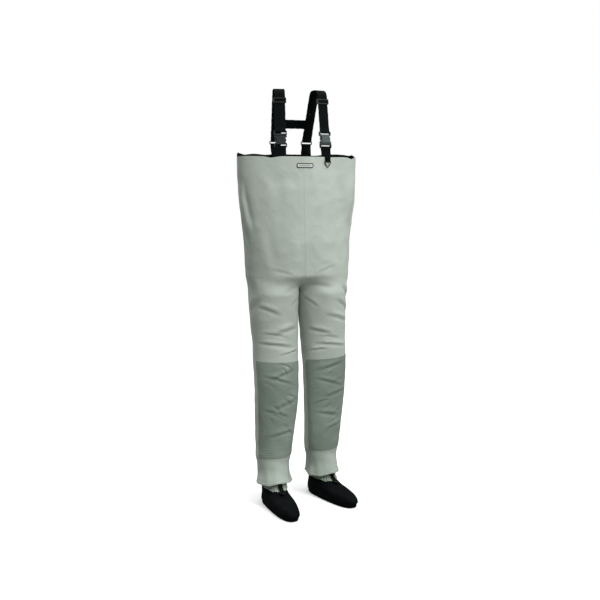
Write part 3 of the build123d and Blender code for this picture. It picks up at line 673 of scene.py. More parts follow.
def makePatches():
    for legName, leg in stance.items():
        side = leg["side"]
        low, top = form["patchBottom"] + 0.001, form["patchTop"]
        middle = float(legCentre(leg, np.array(top))[0])

        def curve(share, height):  # the top edge slants down towards the side seam of its leg
            x, _ = shellPoint(leg, -1, np.full_like(share, top), share)
            tops = [top - patch["slant"], top - patch["slant"] / 2, top + 0.003]
            edge = np.interp((x - middle) / (side * patch["reach"]), [-1.0, -0.25, 1.0], tops)
            inner = np.clip(1 - (share - patch["start"]) / 0.09, 0.0, 1.0)
            edge = edge - patch["corner"] * (1 - np.sqrt(np.clip(1 - inner**2, 0.0, 1.0)))
            up = (height - low) / (top - low)
            return share, low + up * (edge - low)

        def extra(share, height):  # small pleats above the lower edge, and the creases
            window = smooth((height - low - 0.002) / 0.008) * smooth((low + 0.052 - height) / 0.025)
            uneven = 0.6 + 0.4 * np.sin(share * 23.0 + 3.0 * side) * np.sin(share * 7.0 + height * 30)
            bend = height + 0.0022 * np.sin(share * 17.0 + side)
            waves = 0.5 + 0.5 * np.sin(2 * pi * bend / patch["pleatPitch"])
            pleats = patch["pleat"] * waves * window * uneven
            edge = np.minimum.reduce([(share - patch["start"]) * foldReach,
                                      (patch["end"] - share) * foldReach])
            window = smooth(edge / 0.02) * smooth((height - low) / 0.02)
            fine = foldDepth(patchFolds[legName], -1, share, height) * window
            return np.maximum(pleats + fine, -0.0030 * window) - 0.0004 * smooth(1 - edge / 0.002)

        node = f"knee_patch_{legName}"
        piece = shellPiece(pieceName(node), legName, -1, patch["start"], patch["end"],
                           shellRows(low, top, patch["rowStep"]), form["gap"] + patch["wall"],
                           patch["wall"], patch["columns"], extra, curve)
        settle(piece, node, "patch", "patch_fabric")
    print("knee patches made")


inside = {
    "tapeWall": 0.0006, "tapeStep": 0.009, "tapeColumns": 7, "shinRadius": 0.075, "crotchClear": 0.012,
    "facingStep": 0.004, "facingColumns": 60, "elasticStep": 0.0014, "elasticColumns": 420,
}


def makeInside():
    under = -(form["wall"] + form["gap"])
    high = form["rim"] - form["facingDepth"] - 0.004
    bodyShare = form["tapeWidth"] / 2 / (form["rimHalfWidth"] * pi / 2)
    legShare = form["tapeWidth"] / 2 / (inside["shinRadius"] * pi)
    bodyLow = form["crotch"] + form["crotchRise"] + inside["crotchClear"]

    def tape(node, halves, start, end, low, top):
        heights = shellRows(low, top, inside["tapeStep"])
        parts = [shellPiece("tapeHalf", legName, face, start, end, heights, under, inside["tapeWall"],
                            inside["tapeColumns"]) for legName, face in halves]
        settle(joinPieces(parts, pieceName(node)), node, "tape", "seam_tape")

    for face, faceName in faceNames.items():
        bothLegs = [(legName, face) for legName in stance]
        tape(f"{faceName}_seam_tape", bothLegs, 0.0, bodyShare, bodyLow, high)
    for legName in stance:
        bothFaces = [(legName, face) for face in faceNames]
        tape(f"side_seam_tape_{legName}", bothFaces, 1 - legShare, 1.0, form["patchBottom"], high)
        tape(f"inseam_tape_{legName}", bothFaces, 0.0, legShare, form["patchBottom"],
             form["crotch"] - inside["crotchClear"])
    heights = shellRows(form["rim"] - form["facingDepth"], form["rim"], inside["facingStep"])
    for face, faceName in faceNames.items():
        halves = [shellPiece("facingHalf", legName, face, 0.0, 1.0, heights, under, form["facingWall"],
                             inside["facingColumns"]) for legName in stance]
        piece = joinPieces(halves, f"{faceName}Facing")
        settle(piece, f"{faceName}_facing", "facing", "facing_fabric")

    def gather(share, height):  # the elastic draws its edge into small pleats
        pleats = 0.5 + 0.5 * np.sin(share * 150.0 + 2.0 * np.sin(share * 31.0))
        up = np.clip((height - form["rim"]) / form["backRimRise"], 0.0, 1.0)
        return -0.0014 * pleats * (0.35 + 0.65 * up) + 0.0004 * np.sin(share * 61.0)

    def taper(share, height):  # and it comes down to the front's height at the side seams
        keep = 1 - 0.86 * smooth((share - 0.84) / 0.16)
        return share, form["rim"] + (height - form["rim"]) * keep

    heights = shellRows(form["rim"], form["rim"] + form["backRimRise"], inside["elasticStep"])
    wall = form["wall"] + form["gap"] + form["facingWall"] - 0.0008
    halves = [shellPiece("rimHalf", legName, 1, 0.0, 1.0, heights, -0.0001, wall,
                         inside["elasticColumns"], gather, taper) for legName in stance]
    settle(joinPieces(halves, "backRimElastic"), "back_rim_elastic", "rimElastic", "facing_fabric", 60.0)
    print("facing, elastic and tapes made")


# stitches: short capsules laid along a line of places on the cloth
stitchFill = 0.68  # how much of each step its stitch takes up


def stitchLine(name, places, normals, pitch, size, paint, slot):
    places, normals = np.asarray(places, float), np.asarray(normals, float)
    runs = np.linalg.norm(np.diff(places, axis=0), axis=1)
    walked = np.concatenate([[0.0], np.cumsum(runs)])
    count = max(1, int(walked[-1] / pitch))
    deselectAll()
    bpy.ops.mesh.primitive_uv_sphere_add(segments=6, ring_count=4, radius=1.0)
    bead = bpy.context.object
    corners = np.array([v.co for v in bead.data.vertices])
    faces = [list(p.vertices) for p in bead.data.polygons]
    bpy.data.objects.remove(bead)
    points, polygons = [], []

    def read(rows, at):
        return np.array([np.interp(at, walked, rows[:, k]) for k in range(3)])

    for i in range(count):
        at = (i + 0.5) * pitch
        centre, ahead, out = read(places, at), read(places, at + pitch * 0.3), read(normals, at)
        out /= np.linalg.norm(out)
        along = ahead - centre
        if np.linalg.norm(along) < 1e-6:
            continue
        along = along / np.linalg.norm(along)
        sideways = np.cross(along, out)
        start = len(points)
        for x, y, z in corners:
            points.append(centre + along * z * pitch * stitchFill / 2 + sideways * x * size + out * y * size)
        polygons += [[start + c for c in face] for face in faces]
    mesh = bpy.data.meshes.new(name)
    mesh.from_pydata([tuple(p) for p in points], [], polygons)
    piece = bpy.data.objects.new(name, mesh)
    bpy.context.scene.collection.objects.link(piece)
    editWhole(piece, bpy.ops.mesh.normals_make_consistent, inside=False)
    bpy.ops.object.shade_smooth()
    return dress(piece, paint, slot)


def shellLine(legName, face, shares, heights, offset):  # places and outward normals along a line
    shares, heights = np.broadcast_arrays(np.asarray(shares, float), np.asarray(heights, float))
    inner = shellSurface(legName, face, shares, heights, offset)
    outer = shellSurface(legName, face, shares, heights, offset + 0.01)
    return inner, (outer - inner) / 0.01


def makeStitches():
    low, high = form["patchBottom"] + 0.004, form["rim"] - 0.010
    bodyRows = np.linspace(form["crotch"] + form["crotchRise"] + 0.004, high, 260)
    patchRows = np.linspace(low, form["patchTop"] - 0.030, 160)
    patchLift = form["gap"] + patch["wall"] - 0.0001
    for legName in stance:
        def row(name, face, shares, heights, lift=0.0003, pitch=0.0034, size=0.00035, slot="shell_fabric"):
            places, normals = shellLine(legName, face, shares, heights, lift)
            stitchLine(name + legName.capitalize(), places, normals, pitch, size, "thread", slot)

        row("centreStitch", -1, 0.014, bodyRows)
        row("centreBackStitch", 1, 0.014, bodyRows)
        for face, faceName in faceNames.items():
            word = faceName.capitalize()
            row(f"rimStitch{word}", face, np.linspace(0.0, 1.0, 200), form["rim"] - 0.0115, 0.0001,
                size=0.0004)
            row(f"sideStitch{word}", face, 0.987, np.linspace(low, high, 420), pitch=0.0036)
        for share, word in ((patch["start"] + 0.012, "Inner"), (patch["end"] - 0.012, "Outer")):
            row(f"patchStitch{word}", -1, share, patchRows, patchLift, slot="patch_fabric")
    print("stitch rows made")


# rings round a leg: guards, hems, cuffs, sleeves and socks
def legRow(leg, height, grow=0.0):
    halfWidth, halfDepth = between(legSizes, height)
    x, y = legCentre(leg, height)
    depth = halfDepth + grow
    return depth, depth, halfWidth + grow, x, y, legTurn(leg, height)


def ringPoints(angle, back, front, halfWidth, x, y, turn, egg, blunt=0.0):
    square = 1 + blunt * np.sin(2 * angle)**2 * (np.cos(angle) > 0)  # fuller corners at the toes
    forward = np.cos(angle)
    reach = np.where(forward > 0, front, back)
    width = halfWidth * (1 - egg + egg * forward)
    across = width * np.sin(angle) * square
    along = -reach * forward * square
    return (x + across * np.cos(turn) - along * np.sin(turn),
            y + across * np.sin(turn) + along * np.cos(turn))


def ringPiece(node, around, rows, place, wall, centre):  # place(angle, t) gives x, y and z
    angle, t = np.meshgrid(np.linspace(0.0, 2 * pi, around + 1), np.linspace(0.0, 1.0, rows))
    piece = startGrid(pieceName(node), around, rows - 1)
    placeGrid(piece, np.stack(place(angle, t), -1), np.stack([angle * 0.07, t * 0.1], -1))
    editWhole(piece, bpy.ops.mesh.remove_doubles, threshold=0.00002)
    outward(piece, centre)
    if wall:
        addWall(piece, wall)
    return piece


def ringLine(name, angle, near, far, height, pitch, paint, slot):  # stitches between two outlines' normals
    places, out = np.stack([*near, height], -1), np.stack([far[0] - near[0], far[1] - near[1], 0 * angle], -1)
    stitchLine(name, places, out, pitch, 0.0004, paint, slot)


guard = {
    "kick": 0.0085, "billow": 0.0026, "tuck": 0.0040, "frontLift": 0.010, "wall": 0.0018,
    "hemWall": 0.003, "sleeveWall": 0.0013, "sleeveInset": 0.0105, "stitchPitch": 0.0036,
}


def guardDown(height):  # 0 at the top of the guard, 1 at its hem
    return smooth((form["patchBottom"] - height) / (form["patchBottom"] - form["guardHem"]))


def guardMove(angle, height, legName):
    # soft upright folds that grow towards the hem, and a point kicked out at each side
    down = guardDown(height)
    side = stance[legName]["side"]
    waves = (np.sin(5 * angle + 0.8 * side) * 0.5 + np.sin(8 * angle + 2.1) * 0.3
             + np.sin(13 * angle + side) * 0.2)
    kicks = sum(np.exp(-((np.mod(angle, 2 * pi) - pi * place) / 0.30)**2) for place in (0.46, 1.54))
    slack = (np.sin(height * 95.0 + 2.0 * np.sin(angle * 2)) * 0.0008
             * np.sin(pi * np.clip((height - 0.09) / 0.1, 0, 1)))
    tuck = guard["tuck"] * np.sin(pi * np.clip((form["patchBottom"] - height) / 0.1, 0.0, 1.0))
    return down * (guard["billow"] * waves + guard["kick"] * kicks * down**2) + slack - tuck


def hemLift(angle, height):  # the hem rides up in front, over the instep
    turned = np.minimum(np.mod(angle, 2 * pi), 2 * pi - np.mod(angle, 2 * pi))
    front = guard["frontLift"] * np.exp(-(turned / 0.9)**2)
    return guardDown(height) * (front + 0.002 * np.sin(3 * angle + 1.0))


def makeGuards():
    hemTop = form["guardHem"] + form["hemBand"]
    top = form["patchBottom"] - form["gap"]
    for legName, leg in stance.items():
        word = legName.capitalize()
        ankleX, ankleY = leg["ankle"]

        def centre(at):
            x, y = legCentre(leg, np.array(at.z))
            return (float(x), float(y), at.z)

        def surface(angle, height, grow):
            back, front, half, x, y, turn = legRow(leg, height, grow)
            move = guardMove(angle, height, legName)
            return ringPoints(angle, back + move, front + move, half + move, x, y, turn, 0.0)

        def skirt(angle, t):
            height = top + (hemTop - top) * t
            return *surface(angle, height, -0.0015 * np.sin(pi * t)), height + hemLift(angle, height)

        def hem(angle, t):  # a rolled band with a slightly puckered lower edge
            height = hemTop + 0.0006 + (form["guardHem"] - hemTop) * t
            roll = 0.0016 * np.sqrt(np.clip(1 - (2 * t - 1)**4, 0.0, 1.0)) + 0.0003 * np.sin(90 * angle)
            lift = 0.0012 * np.sin(7 * angle) * t
            return *surface(angle, height, roll - 0.0006), height - lift + hemLift(angle, height)

        def sleeve(angle, t):  # from the shell's lower edge in to the top of the sock
            height = top + (form["sockTop"] + form["gap"] - top) * t
            back, front, half, x, y, turn = legRow(leg, height, -guard["sleeveInset"])
            heel, toe, width = between(sockSizes, height)
            into = smooth(t * 1.05)
            move = 0.0012 * np.sin(14 * angle) * np.sin(pi * t)
            sizes = [a + into * (b - a) + move for a, b in ((back, heel), (front, toe), (half, width))]
            x, y = x + into * (ankleX - x), y + into * (ankleY + form["originShift"] - y)
            return *ringPoints(angle, *sizes, x, y, turn, 0.0), height

        node = f"gravel_guard_{legName}"
        piece = settle(ringPiece(node, 150, 44, skirt, guard["wall"], centre), node, "guard", "guard_fabric")
        node = f"guard_hem_{legName}"
        settle(ringPiece(node, 260, 12, hem, guard["hemWall"], centre), node, "guard", "guard_fabric")
        turns = np.linspace(0.0, 2 * pi, 240)
        for drop, lineName in ((0.0015, "Upper"), (0.0070, "Lower")):
            height = np.full_like(turns, hemTop - drop)
            near, far = surface(turns, height, 0.0014), surface(turns, height, 0.0114)
            ringLine(f"hemStitch{lineName}{word}", turns, near, far, height + hemLift(turns, height),
                     guard["stitchPitch"], "thread", "guard_fabric")
        node = f"ankle_sleeve_{legName}"
        settle(ringPiece(node, 90, 24, sleeve, guard["sleeveWall"], centre), node, "shell", "shell_fabric")
    print("gravel guards made")


# the socks, by the same outlines as the CAD
def sockProfile(t):  # heights and reaches by distance walked up the toe's profile
    rows = np.array(sockSizes)
    walked = np.concatenate([[0.0], np.cumsum(np.hypot(np.diff(rows[:, 0]), np.diff(rows[:, 2])))])
    walked = walked / walked[-1]
    return [cubicThrough(walked, rows[:, i], t) for i in range(4)]


def cubicThrough(at, values, where):  # a monotone cubic through a few values
    slopes = np.diff(values) / np.diff(at)
    tangents = np.zeros(len(values))
    tangents[0], tangents[-1] = slopes[0], slopes[-1]
    for i in range(1, len(values) - 1):
        if slopes[i - 1] * slopes[i] > 0:
            tangents[i] = 2 / (1 / slopes[i - 1] + 1 / slopes[i])
    i = np.clip(np.searchsorted(at, where) - 1, 0, len(at) - 2)
    width = at[i + 1] - at[i]
    s = np.clip((where - at[i]) / width, 0.0, 1.0)
    return ((1 + 2 * s) * (1 - s)**2 * values[i] + s * (1 - s)**2 * width * tangents[i]
            + s * s * (3 - 2 * s) * values[i + 1] + s * s * (s - 1) * width * tangents[i + 1])


sock = {
    "wall": 0.0042, "crease": 0.0016, "seam": 0.0012, "blunt": 0.085, "egg": 0.04, "toeEgg": 0.12,
    "soleRound": 0.0030, "cuffTop": 0.099, "cuffBottom": 0.0735, "cuffWall": 0.0014,
    "tapeBottom": 0.103, "tapeWall": 0.0005, "stitchLine": 0.055, "stitchPitch": 0.0038,
}


def sockPlace(leg, angle, t, grow=0.0):
    height, heel, toe, half = sockProfile(t)
    x, y = leg["ankle"]
    turn = radians(leg["side"] * leg["turnOut"])
    foot = smooth(toe / heel - 1.5)  # 0 at the ankle, 1 where the foot is long
    egg = sock["egg"] + (sock["toeEgg"] - sock["egg"]) * foot
    px, py = ringPoints(angle, heel + grow, toe + grow, half + grow, x, y + form["originShift"],
                        turn, egg, sock["blunt"] * foot)
    return px, py, height


def sockMove(angle, height):
    front = np.exp(-((angle) / 0.9)**2) + np.exp(-((2 * pi - angle) / 0.9)**2)
    instep = 0.0
    for place, size in ((0.058, 1.0), (0.066, 0.8), (0.076, 0.7), (0.050, 0.6)):
        instep = instep - size * np.exp(-((height - place - 0.002 * np.sin(angle * 3)) / 0.0022)**2)
    heelSeam = np.exp(-((angle - pi) / 0.035)**2) * 0.8
    band = np.exp(-((height - 0.0165) / 0.0016)**2)  # the seam that joins the upper to the sole
    back = np.exp(-((angle - pi) / 1.0)**2) * np.exp(-((height - 0.062) / 0.006)**2)
    seams = band + heelSeam * smooth((height - 0.02) / 0.01)
    return sock["crease"] * (instep * front - 0.8 * back) + sock["seam"] * seams


def makeSocks():
    for legName, leg in stance.items():
        word = legName.capitalize()
        turn = radians(leg["side"] * leg["turnOut"])
        ankleX, ankleY = leg["ankle"][0], leg["ankle"][1] + form["originShift"]

        def centre(at):
            reach = 0.07 * float(smooth((0.06 - at.z) / 0.03))
            return (ankleX + reach * sin(turn), ankleY - reach * cos(turn), at.z)

        def ankleRing(angle, height, move):
            heel, toe, half = between(sockSizes, height)
            return ringPoints(angle, heel + move, toe + move, half + move, ankleX, ankleY, turn, sock["egg"])

        def upper(angle, t):
            px, py, height = sockPlace(leg, angle, t, -0.0003)
            move = sockMove(angle, height) + 0.0006 * np.sin(9 * angle + height * 120)
            ox, oy, _ = sockPlace(leg, angle, t, 0.0097)
            length = np.hypot(ox - px, oy - py)
            return px + (ox - px) / length * move, py + (oy - py) / length * move, height

        def soleEdge(angle, t):  # a rounded lower edge, closed across the bottom
            drop, inwards = np.clip(t / 0.45, 0.0, 1.0), np.clip((t - 0.45) / 0.55, 0.0, 1.0)
            inset = sock["soleRound"] * (1 - np.sqrt(np.clip(1 - drop**2, 0.0, 1.0)))
            sizes = [(size - inset) * (1 - inwards * 0.999) for size in sockSizes[0][1:]]
            place = ringPoints(angle, *sizes, ankleX, ankleY, turn, sock["toeEgg"], sock["blunt"])
            return *place, soleWall * (1 - drop) + 0.0012 * np.sin(pi * inwards)

        def cuff(angle, t):  # gathered cloth that puffs between two elastic rows
            height = sock["cuffTop"] + (sock["cuffBottom"] - sock["cuffTop"]) * t
            puff = 0.0022 + 0.0016 * np.sin(pi * t) + 0.0009 * np.sin(2 * pi * t * 2.5)
            pleats = np.sin(46 * angle + 2.5 * np.sin(5 * angle) + 1.2 * np.sin(9 * t))
            fine = np.sin(97 * angle + 4 * np.sin(3 * angle + 5 * t))
            lift = 0.0018 * np.sin(4 * angle + 1) + 0.0012 * np.sin(11 * angle)
            move = puff + 0.0013 * pleats + 0.0007 * fine
            return *ankleRing(angle, height, move), height + lift * t

        def tape(angle, t):
            height = form["sockTop"] - 0.0001 + (sock["tapeBottom"] - form["sockTop"]) * t
            return *ankleRing(angle, height, 0.0009), height

        node = f"sock_upper_{legName}"
        settle(ringPiece(node, 180, 150, upper, sock["wall"], centre), node, "sock", "neoprene", 60.0)
        node = f"sock_sole_{legName}"
        piece = ringPiece(node, 180, 30, soleEdge, 0.0, lambda at: (*centre(at)[:2], 0.02))
        work = bmesh.new()
        work.from_mesh(piece.data)
        bmesh.ops.holes_fill(work, edges=[e for e in work.edges if e.is_boundary], sides=400)
        bmesh.ops.recalc_face_normals(work, faces=work.faces)
        work.to_mesh(piece.data)
        work.free()
        settle(piece, node, "sole", "neoprene", 50.0)
        turns = np.linspace(0.0, 2 * pi, 300)
        at = np.full_like(turns, sock["stitchLine"])
        *near, height = sockPlace(leg, turns, at, 0.0006)
        ringLine(f"sockStitch{word}", turns, near, sockPlace(leg, turns, at, 0.0106), height,
                 sock["stitchPitch"], "darkThread", "neoprene")
        node = f"guard_cuff_{legName}"
        piece = ringPiece(node, 420, 26, cuff, sock["cuffWall"], centre)
        settle(piece, node, "cuff", "guard_fabric", 70.0)
        node = f"sock_seam_tape_{legName}"
        settle(ringPiece(node, 90, 6, tape, sock["tapeWall"], centre), node, "tape", "seam_tape")
    print("socks made")


# webbing: ribbons laid along paths, in each brace's own upright plane
brace = {
    "width": 0.040, "wall": 0.0016, "frontSpacing": 0.181, "backSpacing": 0.122, "top": 1.568,
    "bend": 0.025, "frontLean": 8.0, "backLean": 18.0, "crossHeight": 1.446, "crossWidth": 0.034,
    "tabDepth": 0.052, "buckleFoot": 0.033, "socketLength": 0.042, "plugLength": 0.019,
    "bar": 0.0025, "gap": 0.00035, "adjuster": 0.206, "adjusterLength": 0.019,
    "ringHeight": 1.377, "ringBar": 0.0018, "ringSlot": 0.0086, "backReach": 0.112,
    "loopWall": 0.0012, "loopDrop": 0.017, "loopWidth": 0.020, "ringWire": 0.0015,
    "boxWidth": 0.030,
}
frontX, backX = brace["frontSpacing"] / 2, brace["backSpacing"] / 2
frontY = -form["rimHalfDepth"] * sqrt(1 - (frontX / form["rimHalfWidth"])**2)
backY = form["rimHalfDepth"] * sqrt(1 - (backX / form["rimHalfWidth"])**2)
splay = atan2(frontX - backX, backY - frontY)
middleX = backX + (frontX - backX) * backY / (backY - frontY)
frontReach = -hypot(frontX - middleX, frontY)
backReach = hypot(middleX - backX, backY)
tabWall = 2 * brace["wall"] + form["gap"]
lining = form["wall"] + 2 * form["gap"] + form["facingWall"] + 0.0005 + brace["loopWall"] + form["gap"]
runY = frontReach + lining + tabWall / 2
ringY = backReach - lining - tabWall / 2 + 0.001
frontLean, backLean = radians(brace["frontLean"]), radians(brace["backLean"])


def braceSpot(side, y, z, x=0.0):
    turn = side * splay
    return Vector((side * middleX + x * cos(turn) - y * sin(turn),
                   x * sin(turn) + y * cos(turn) + form["originShift"], z))


def braceAcross(side):
    return Vector((cos(side * splay), sin(side * splay), 0.0))


def frontSpot(side, along, off=0.0):  # along the front run from the rim, off behind it
    y = runY + along * sin(frontLean) + off * cos(frontLean)
    z = form["rim"] + along * cos(frontLean) - off * sin(frontLean)
    return braceSpot(side, y, z)


def backSpot(side, along, off=0.0):
    y = ringY - along * sin(backLean) + off * cos(backLean)
    z = brace["ringHeight"] + along * cos(backLean) + off * sin(backLean)
    return braceSpot(side, y, z)


def walkedAlong(points):  # the distance walked to each point
    rows = np.array([list(point) for point in points], float)
    walked = [0.0]
    for a, b in zip(rows, rows[1:]):
        walked.append(walked[-1] + float(np.linalg.norm(b - a)))
    return walked


def readAlong(values, walked, at):
    rows = np.array([list(value) for value in values], float)
    return np.stack([np.interp(at, walked, rows[:, k]) for k in range(3)], -1)


def resample(points, step):
    walked = walkedAlong(points)
    at = np.linspace(0.0, walked[-1], max(3, int(walked[-1] / step) + 1))
    return readAlong(points, walked, at), at


ribbonDetail = {"columns": 15, "step": 0.0015, "thin": 0.92, "round": 0.3, "cup": 0.0002}


def unit(rows):
    return rows / np.linalg.norm(rows, axis=1)[:, None]


def ribbon(name, path, across, width, wall, body):
    # path is the middle line; across is one direction or one for each point
    places, at = resample(path, ribbonDetail["step"])
    rows = len(places)
    if isinstance(across, Vector):
        sideways = np.tile(np.array(across), (rows, 1))
    else:
        sideways = readAlong(across, walkedAlong(path), at)
    tangents = unit(np.gradient(places, axis=0))
    sideways = unit(sideways)
    normals = unit(np.cross(tangents, sideways))
    t = np.linspace(-1.0, 1.0, ribbonDetail["columns"])
    t = np.sign(t) * np.abs(t)**0.75
    wobble = 0.00025 * np.sin(at * 260.0) + 0.0002 * np.sin(at * 97.0 + 1.0)
    half = (width / 2 + wobble)[:, None] * t[None, :]
    cup = -ribbonDetail["cup"] * (1 - t[None, :]**2) * np.ones((rows, 1))
    points = (places[:, None, :] + sideways[:, None, :] * half[:, :, None]
              + normals[:, None, :] * cup[:, :, None])
    piece = startGrid(name, ribbonDetail["columns"] - 1, rows - 1)
    placeGrid(piece, points, np.stack([half, np.repeat(at[:, None], len(t), 1)], -1))
    addWall(piece, wall * ribbonDetail["thin"], 0.0)
    edge = piece.modifiers.new("edge", "BEVEL")
    edge.width = wall * ribbonDetail["round"]
    edge.segments = 2
    edge.limit_method = "ANGLE"
    edge.angle_limit = radians(50)
    applyAll(piece)
    smoothShade(piece, 50.0)
    return dress(piece, "webbing", "webbing", body)


def strap(node, path, across, body="waders", width=brace["width"]):
    piece = ribbon(pieceName(node), path, across, width, brace["wall"], body)
    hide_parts(node)
    return piece


def loopPath(bar, reach, tail):  # off and along: up one layer, round the bar, and back
    apart = (form["gap"] + brace["wall"]) / 2
    radius = bar + brace["gap"] + brace["wall"] / 2
    leave = atan2(reach, apart) - acos(radius / hypot(reach, apart))
    turn = [(radius * cos(a), radius * sin(a)) for a in np.linspace(leave, -pi - leave, 22)]
    return [(apart, tail), (apart, reach)] + turn + [(-apart, reach), (-apart, tail)]


adjusterTop = brace["adjuster"] + brace["adjusterLength"] / 2 - 0.002


def makeFrontTab(name, side):
    barHeight = brace["buckleFoot"] + brace["bar"]
    loop = loopPath(brace["bar"], 0.014, barHeight + 0.001)
    path = [frontSpot(side, barHeight - along, off) for off, along in loop]
    apart = (form["gap"] + brace["wall"]) / 2
    down, up = [[braceSpot(side, runY + off, form["rim"] - brace["tabDepth"] * i / 4) for i in range(1, 5)]
                for off in (apart, -apart)]
    strap(f"front_tab_{name}", down[::-1] + path + up, braceAcross(side))


def makeFrontLoop(name, side):
    upperBar = brace["buckleFoot"] + brace["socketLength"] + brace["plugLength"] - brace["bar"]
    loop = loopPath(brace["bar"], 0.014, adjusterTop - upperBar)
    path = [frontSpot(side, upperBar + along, off) for off, along in loop]
    strap(f"front_loop_{name}", path, braceAcross(side), f"brace_end_{name}")


def roundCorner(before, corner, after, radius):
    inward, outwardRun = (before - corner).normalized(), (after - corner).normalized()
    half = inward.angle(outwardRun) / 2
    cut = radius / tan(half)
    centre = corner + (inward + outwardRun).normalized() * (radius / sin(half))
    first, last = corner + inward * cut - centre, corner + outwardRun * cut - centre
    turn = first.angle(last)
    count = 16
    return [centre + (first * sin(turn * (1 - i / count)) + last * sin(turn * i / count)) / sin(turn)
            for i in range(count + 1)]


def makeShoulderStrap(name, side):
    start = adjusterTop + form["gap"]
    outerLayer = -(form["gap"] + brace["wall"]) / 2
    top = brace["top"] - brace["wall"] / 2
    frontLine = runY + outerLayer / cos(frontLean)
    low, high = form["rim"], brace["ringHeight"]
    first = Vector((0, frontLine + start * sin(frontLean), low + start * cos(frontLean)))
    frontCorner = Vector((0, frontLine + (top - low) * tan(frontLean), top))
    backCorner = Vector((0, ringY - (top - high) * tan(backLean), top))
    lastHeight = high + brace["backReach"] * cos(backLean)
    last = Vector((0, ringY - (lastHeight - high) * tan(backLean), lastHeight))
    path = [first] + roundCorner(first, frontCorner, backCorner, brace["bend"])
    path += roundCorner(frontCorner, backCorner, last, brace["bend"]) + [last]
    spots = [braceSpot(side, p.y, p.z) for p in path]
    piece = strap(f"shoulder_strap_{name}", spots, braceAcross(side), None)
    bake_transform(piece)


def makeBackStrap(name, side):
    bar = brace["ringSlot"] / 2 + brace["ringBar"]
    loop = loopPath(brace["ringBar"], 0.012, 0.040)
    end = brace["backReach"] - 0.00005  # the two lengths of the webbing all but touch
    path = [backSpot(side, bar + along, off) for off, along in loop[:-1]]
    path += [backSpot(side, bar + 0.036, -0.0009), backSpot(side, bar + 0.046), backSpot(side, end)]
    strap(f"back_strap_{name}", path, braceAcross(side))


def makeBackTab(name, side):
    bar = brace["ringSlot"] / 2 + brace["ringBar"]
    ringBottom = backSpot(side, -bar)
    loop = loopPath(brace["ringBar"], 0.010, 0.013)
    across = braceAcross(side)
    away = Vector((-across.y, across.x, 0.0))
    tangent = atan2(form["rimHalfDepth"]**2 * backX, form["rimHalfWidth"]**2 * backY)
    inset = form["wall"] + 2 * form["gap"] + form["facingWall"] + tabWall / 2 + 0.001
    lowX = side * (backX - inset * sin(tangent))
    lowY = backY - inset * cos(tangent) + form["originShift"]
    lowAcross = Vector((cos(tangent), -side * sin(tangent), 0.0))
    lowAway = Vector((-lowAcross.y, lowAcross.x, 0.0))
    start, edge = ringBottom.z - 0.013, form["rim"] + form["backRimRise"] + 0.002
    apart = (form["gap"] + brace["wall"]) / 2

    def leg(sign):  # one layer from the ring's loop down inside the edge, turning as it goes
        spots, sides = [], []
        for share in np.linspace(0.0, 1.0, 8):
            middle = ringBottom.lerp(Vector((lowX, lowY, 0)), float(share))
            normal = away.lerp(lowAway, float(share)).normalized()
            z = start + (edge - start) * share
            spots.append(Vector((middle.x, middle.y, z)) + normal * sign * apart)
            sides.append(across.lerp(lowAcross, float(share)))
        for share in (0.35, 0.7, 1.0):
            z = edge + (form["rim"] - brace["tabDepth"] - edge) * share
            spots.append(Vector((lowX, lowY, z)) + lowAway * sign * apart)
            sides.append(lowAcross)
        return spots, sides
    frontSpots, frontSides = leg(1)
    backSpots, backSides = leg(-1)
    turned = [ringBottom + away * off + Vector((0, 0, -along)) for off, along in loop[1:-1]]
    path = frontSpots[::-1] + turned + backSpots
    sides = frontSides[::-1] + [across] * len(turned) + backSides
    strap(f"back_tab_{name}", path, sides)


def makeCrossStrap():
    run = (brace["crossHeight"] - brace["ringHeight"]) / cos(backLean)
    reach = brace["width"] / 2 - 0.002
    clear = brace["wall"] + form["gap"] + 0.0001
    spots = []
    for side, x in ((-1, -reach), (-1, reach), (1, -reach), (1, reach)):
        spots.append(backSpot(side, run, -clear) + braceAcross(side) * x)
    middle = spots[1].lerp(spots[2], 0.5) + Vector((0, -0.005, 0))
    bow = []
    for t in np.linspace(0.0, 1.0, 15)[1:-1]:
        spot = spots[1].lerp(spots[2], float(t))
        spot.y = spot.y + (middle.y - spots[1].y) * (1 - (2 * t - 1)**2)
        bow.append(spot)
    path = spots[:2] + bow + spots[2:]
    upright = Vector((0, -sin(backLean), cos(backLean)))
    strap("cross_strap", path, upright, width=brace["crossWidth"])


def boxStitch(name, corner, acrossWay, upWay, outWay, height):  # a square of stitches with a cross
    points = [(-1, -1), (1, -1), (1, 1), (-1, 1), (-1, -1), (1, 1), (1, -1), (-1, 1)]
    places = [corner + acrossWay * (x * brace["boxWidth"] / 2) + upWay * (y * height / 2) for x, y in points]
    fine, _ = resample(places, 0.001)
    normals = np.tile(np.array(outWay), (len(fine), 1))
    stitchLine(name, fine, normals, 0.0032, 0.00035, "darkThread", "webbing")


def makeBraceStitches(name, side):
    across = braceAcross(side)
    run = (brace["crossHeight"] - brace["ringHeight"]) / cos(backLean)
    boxes = [  # name, its run, place along it, lift off the middle line, height, which way is out
        ("ringStitch", backSpot, 0.030, brace["wall"] + 0.0003, 0.014, 1),
        ("crossStitch", backSpot, run, brace["wall"] / 2 + 0.0002, 0.026, 1),
        ("frontTabStitch", frontSpot, 0.011, brace["wall"] + 0.0003, 0.012, -1),
    ]
    for word, spot, along, lift, height, outSide in boxes:
        up = (spot(side, 0.02) - spot(side, 0.0)).normalized()
        out = across.cross(up).normalized()
        if out.y * outSide < 0:
            out = -out
        boxStitch(word + name.capitalize(), spot(side, along) + out * lift, across, up, out, height)


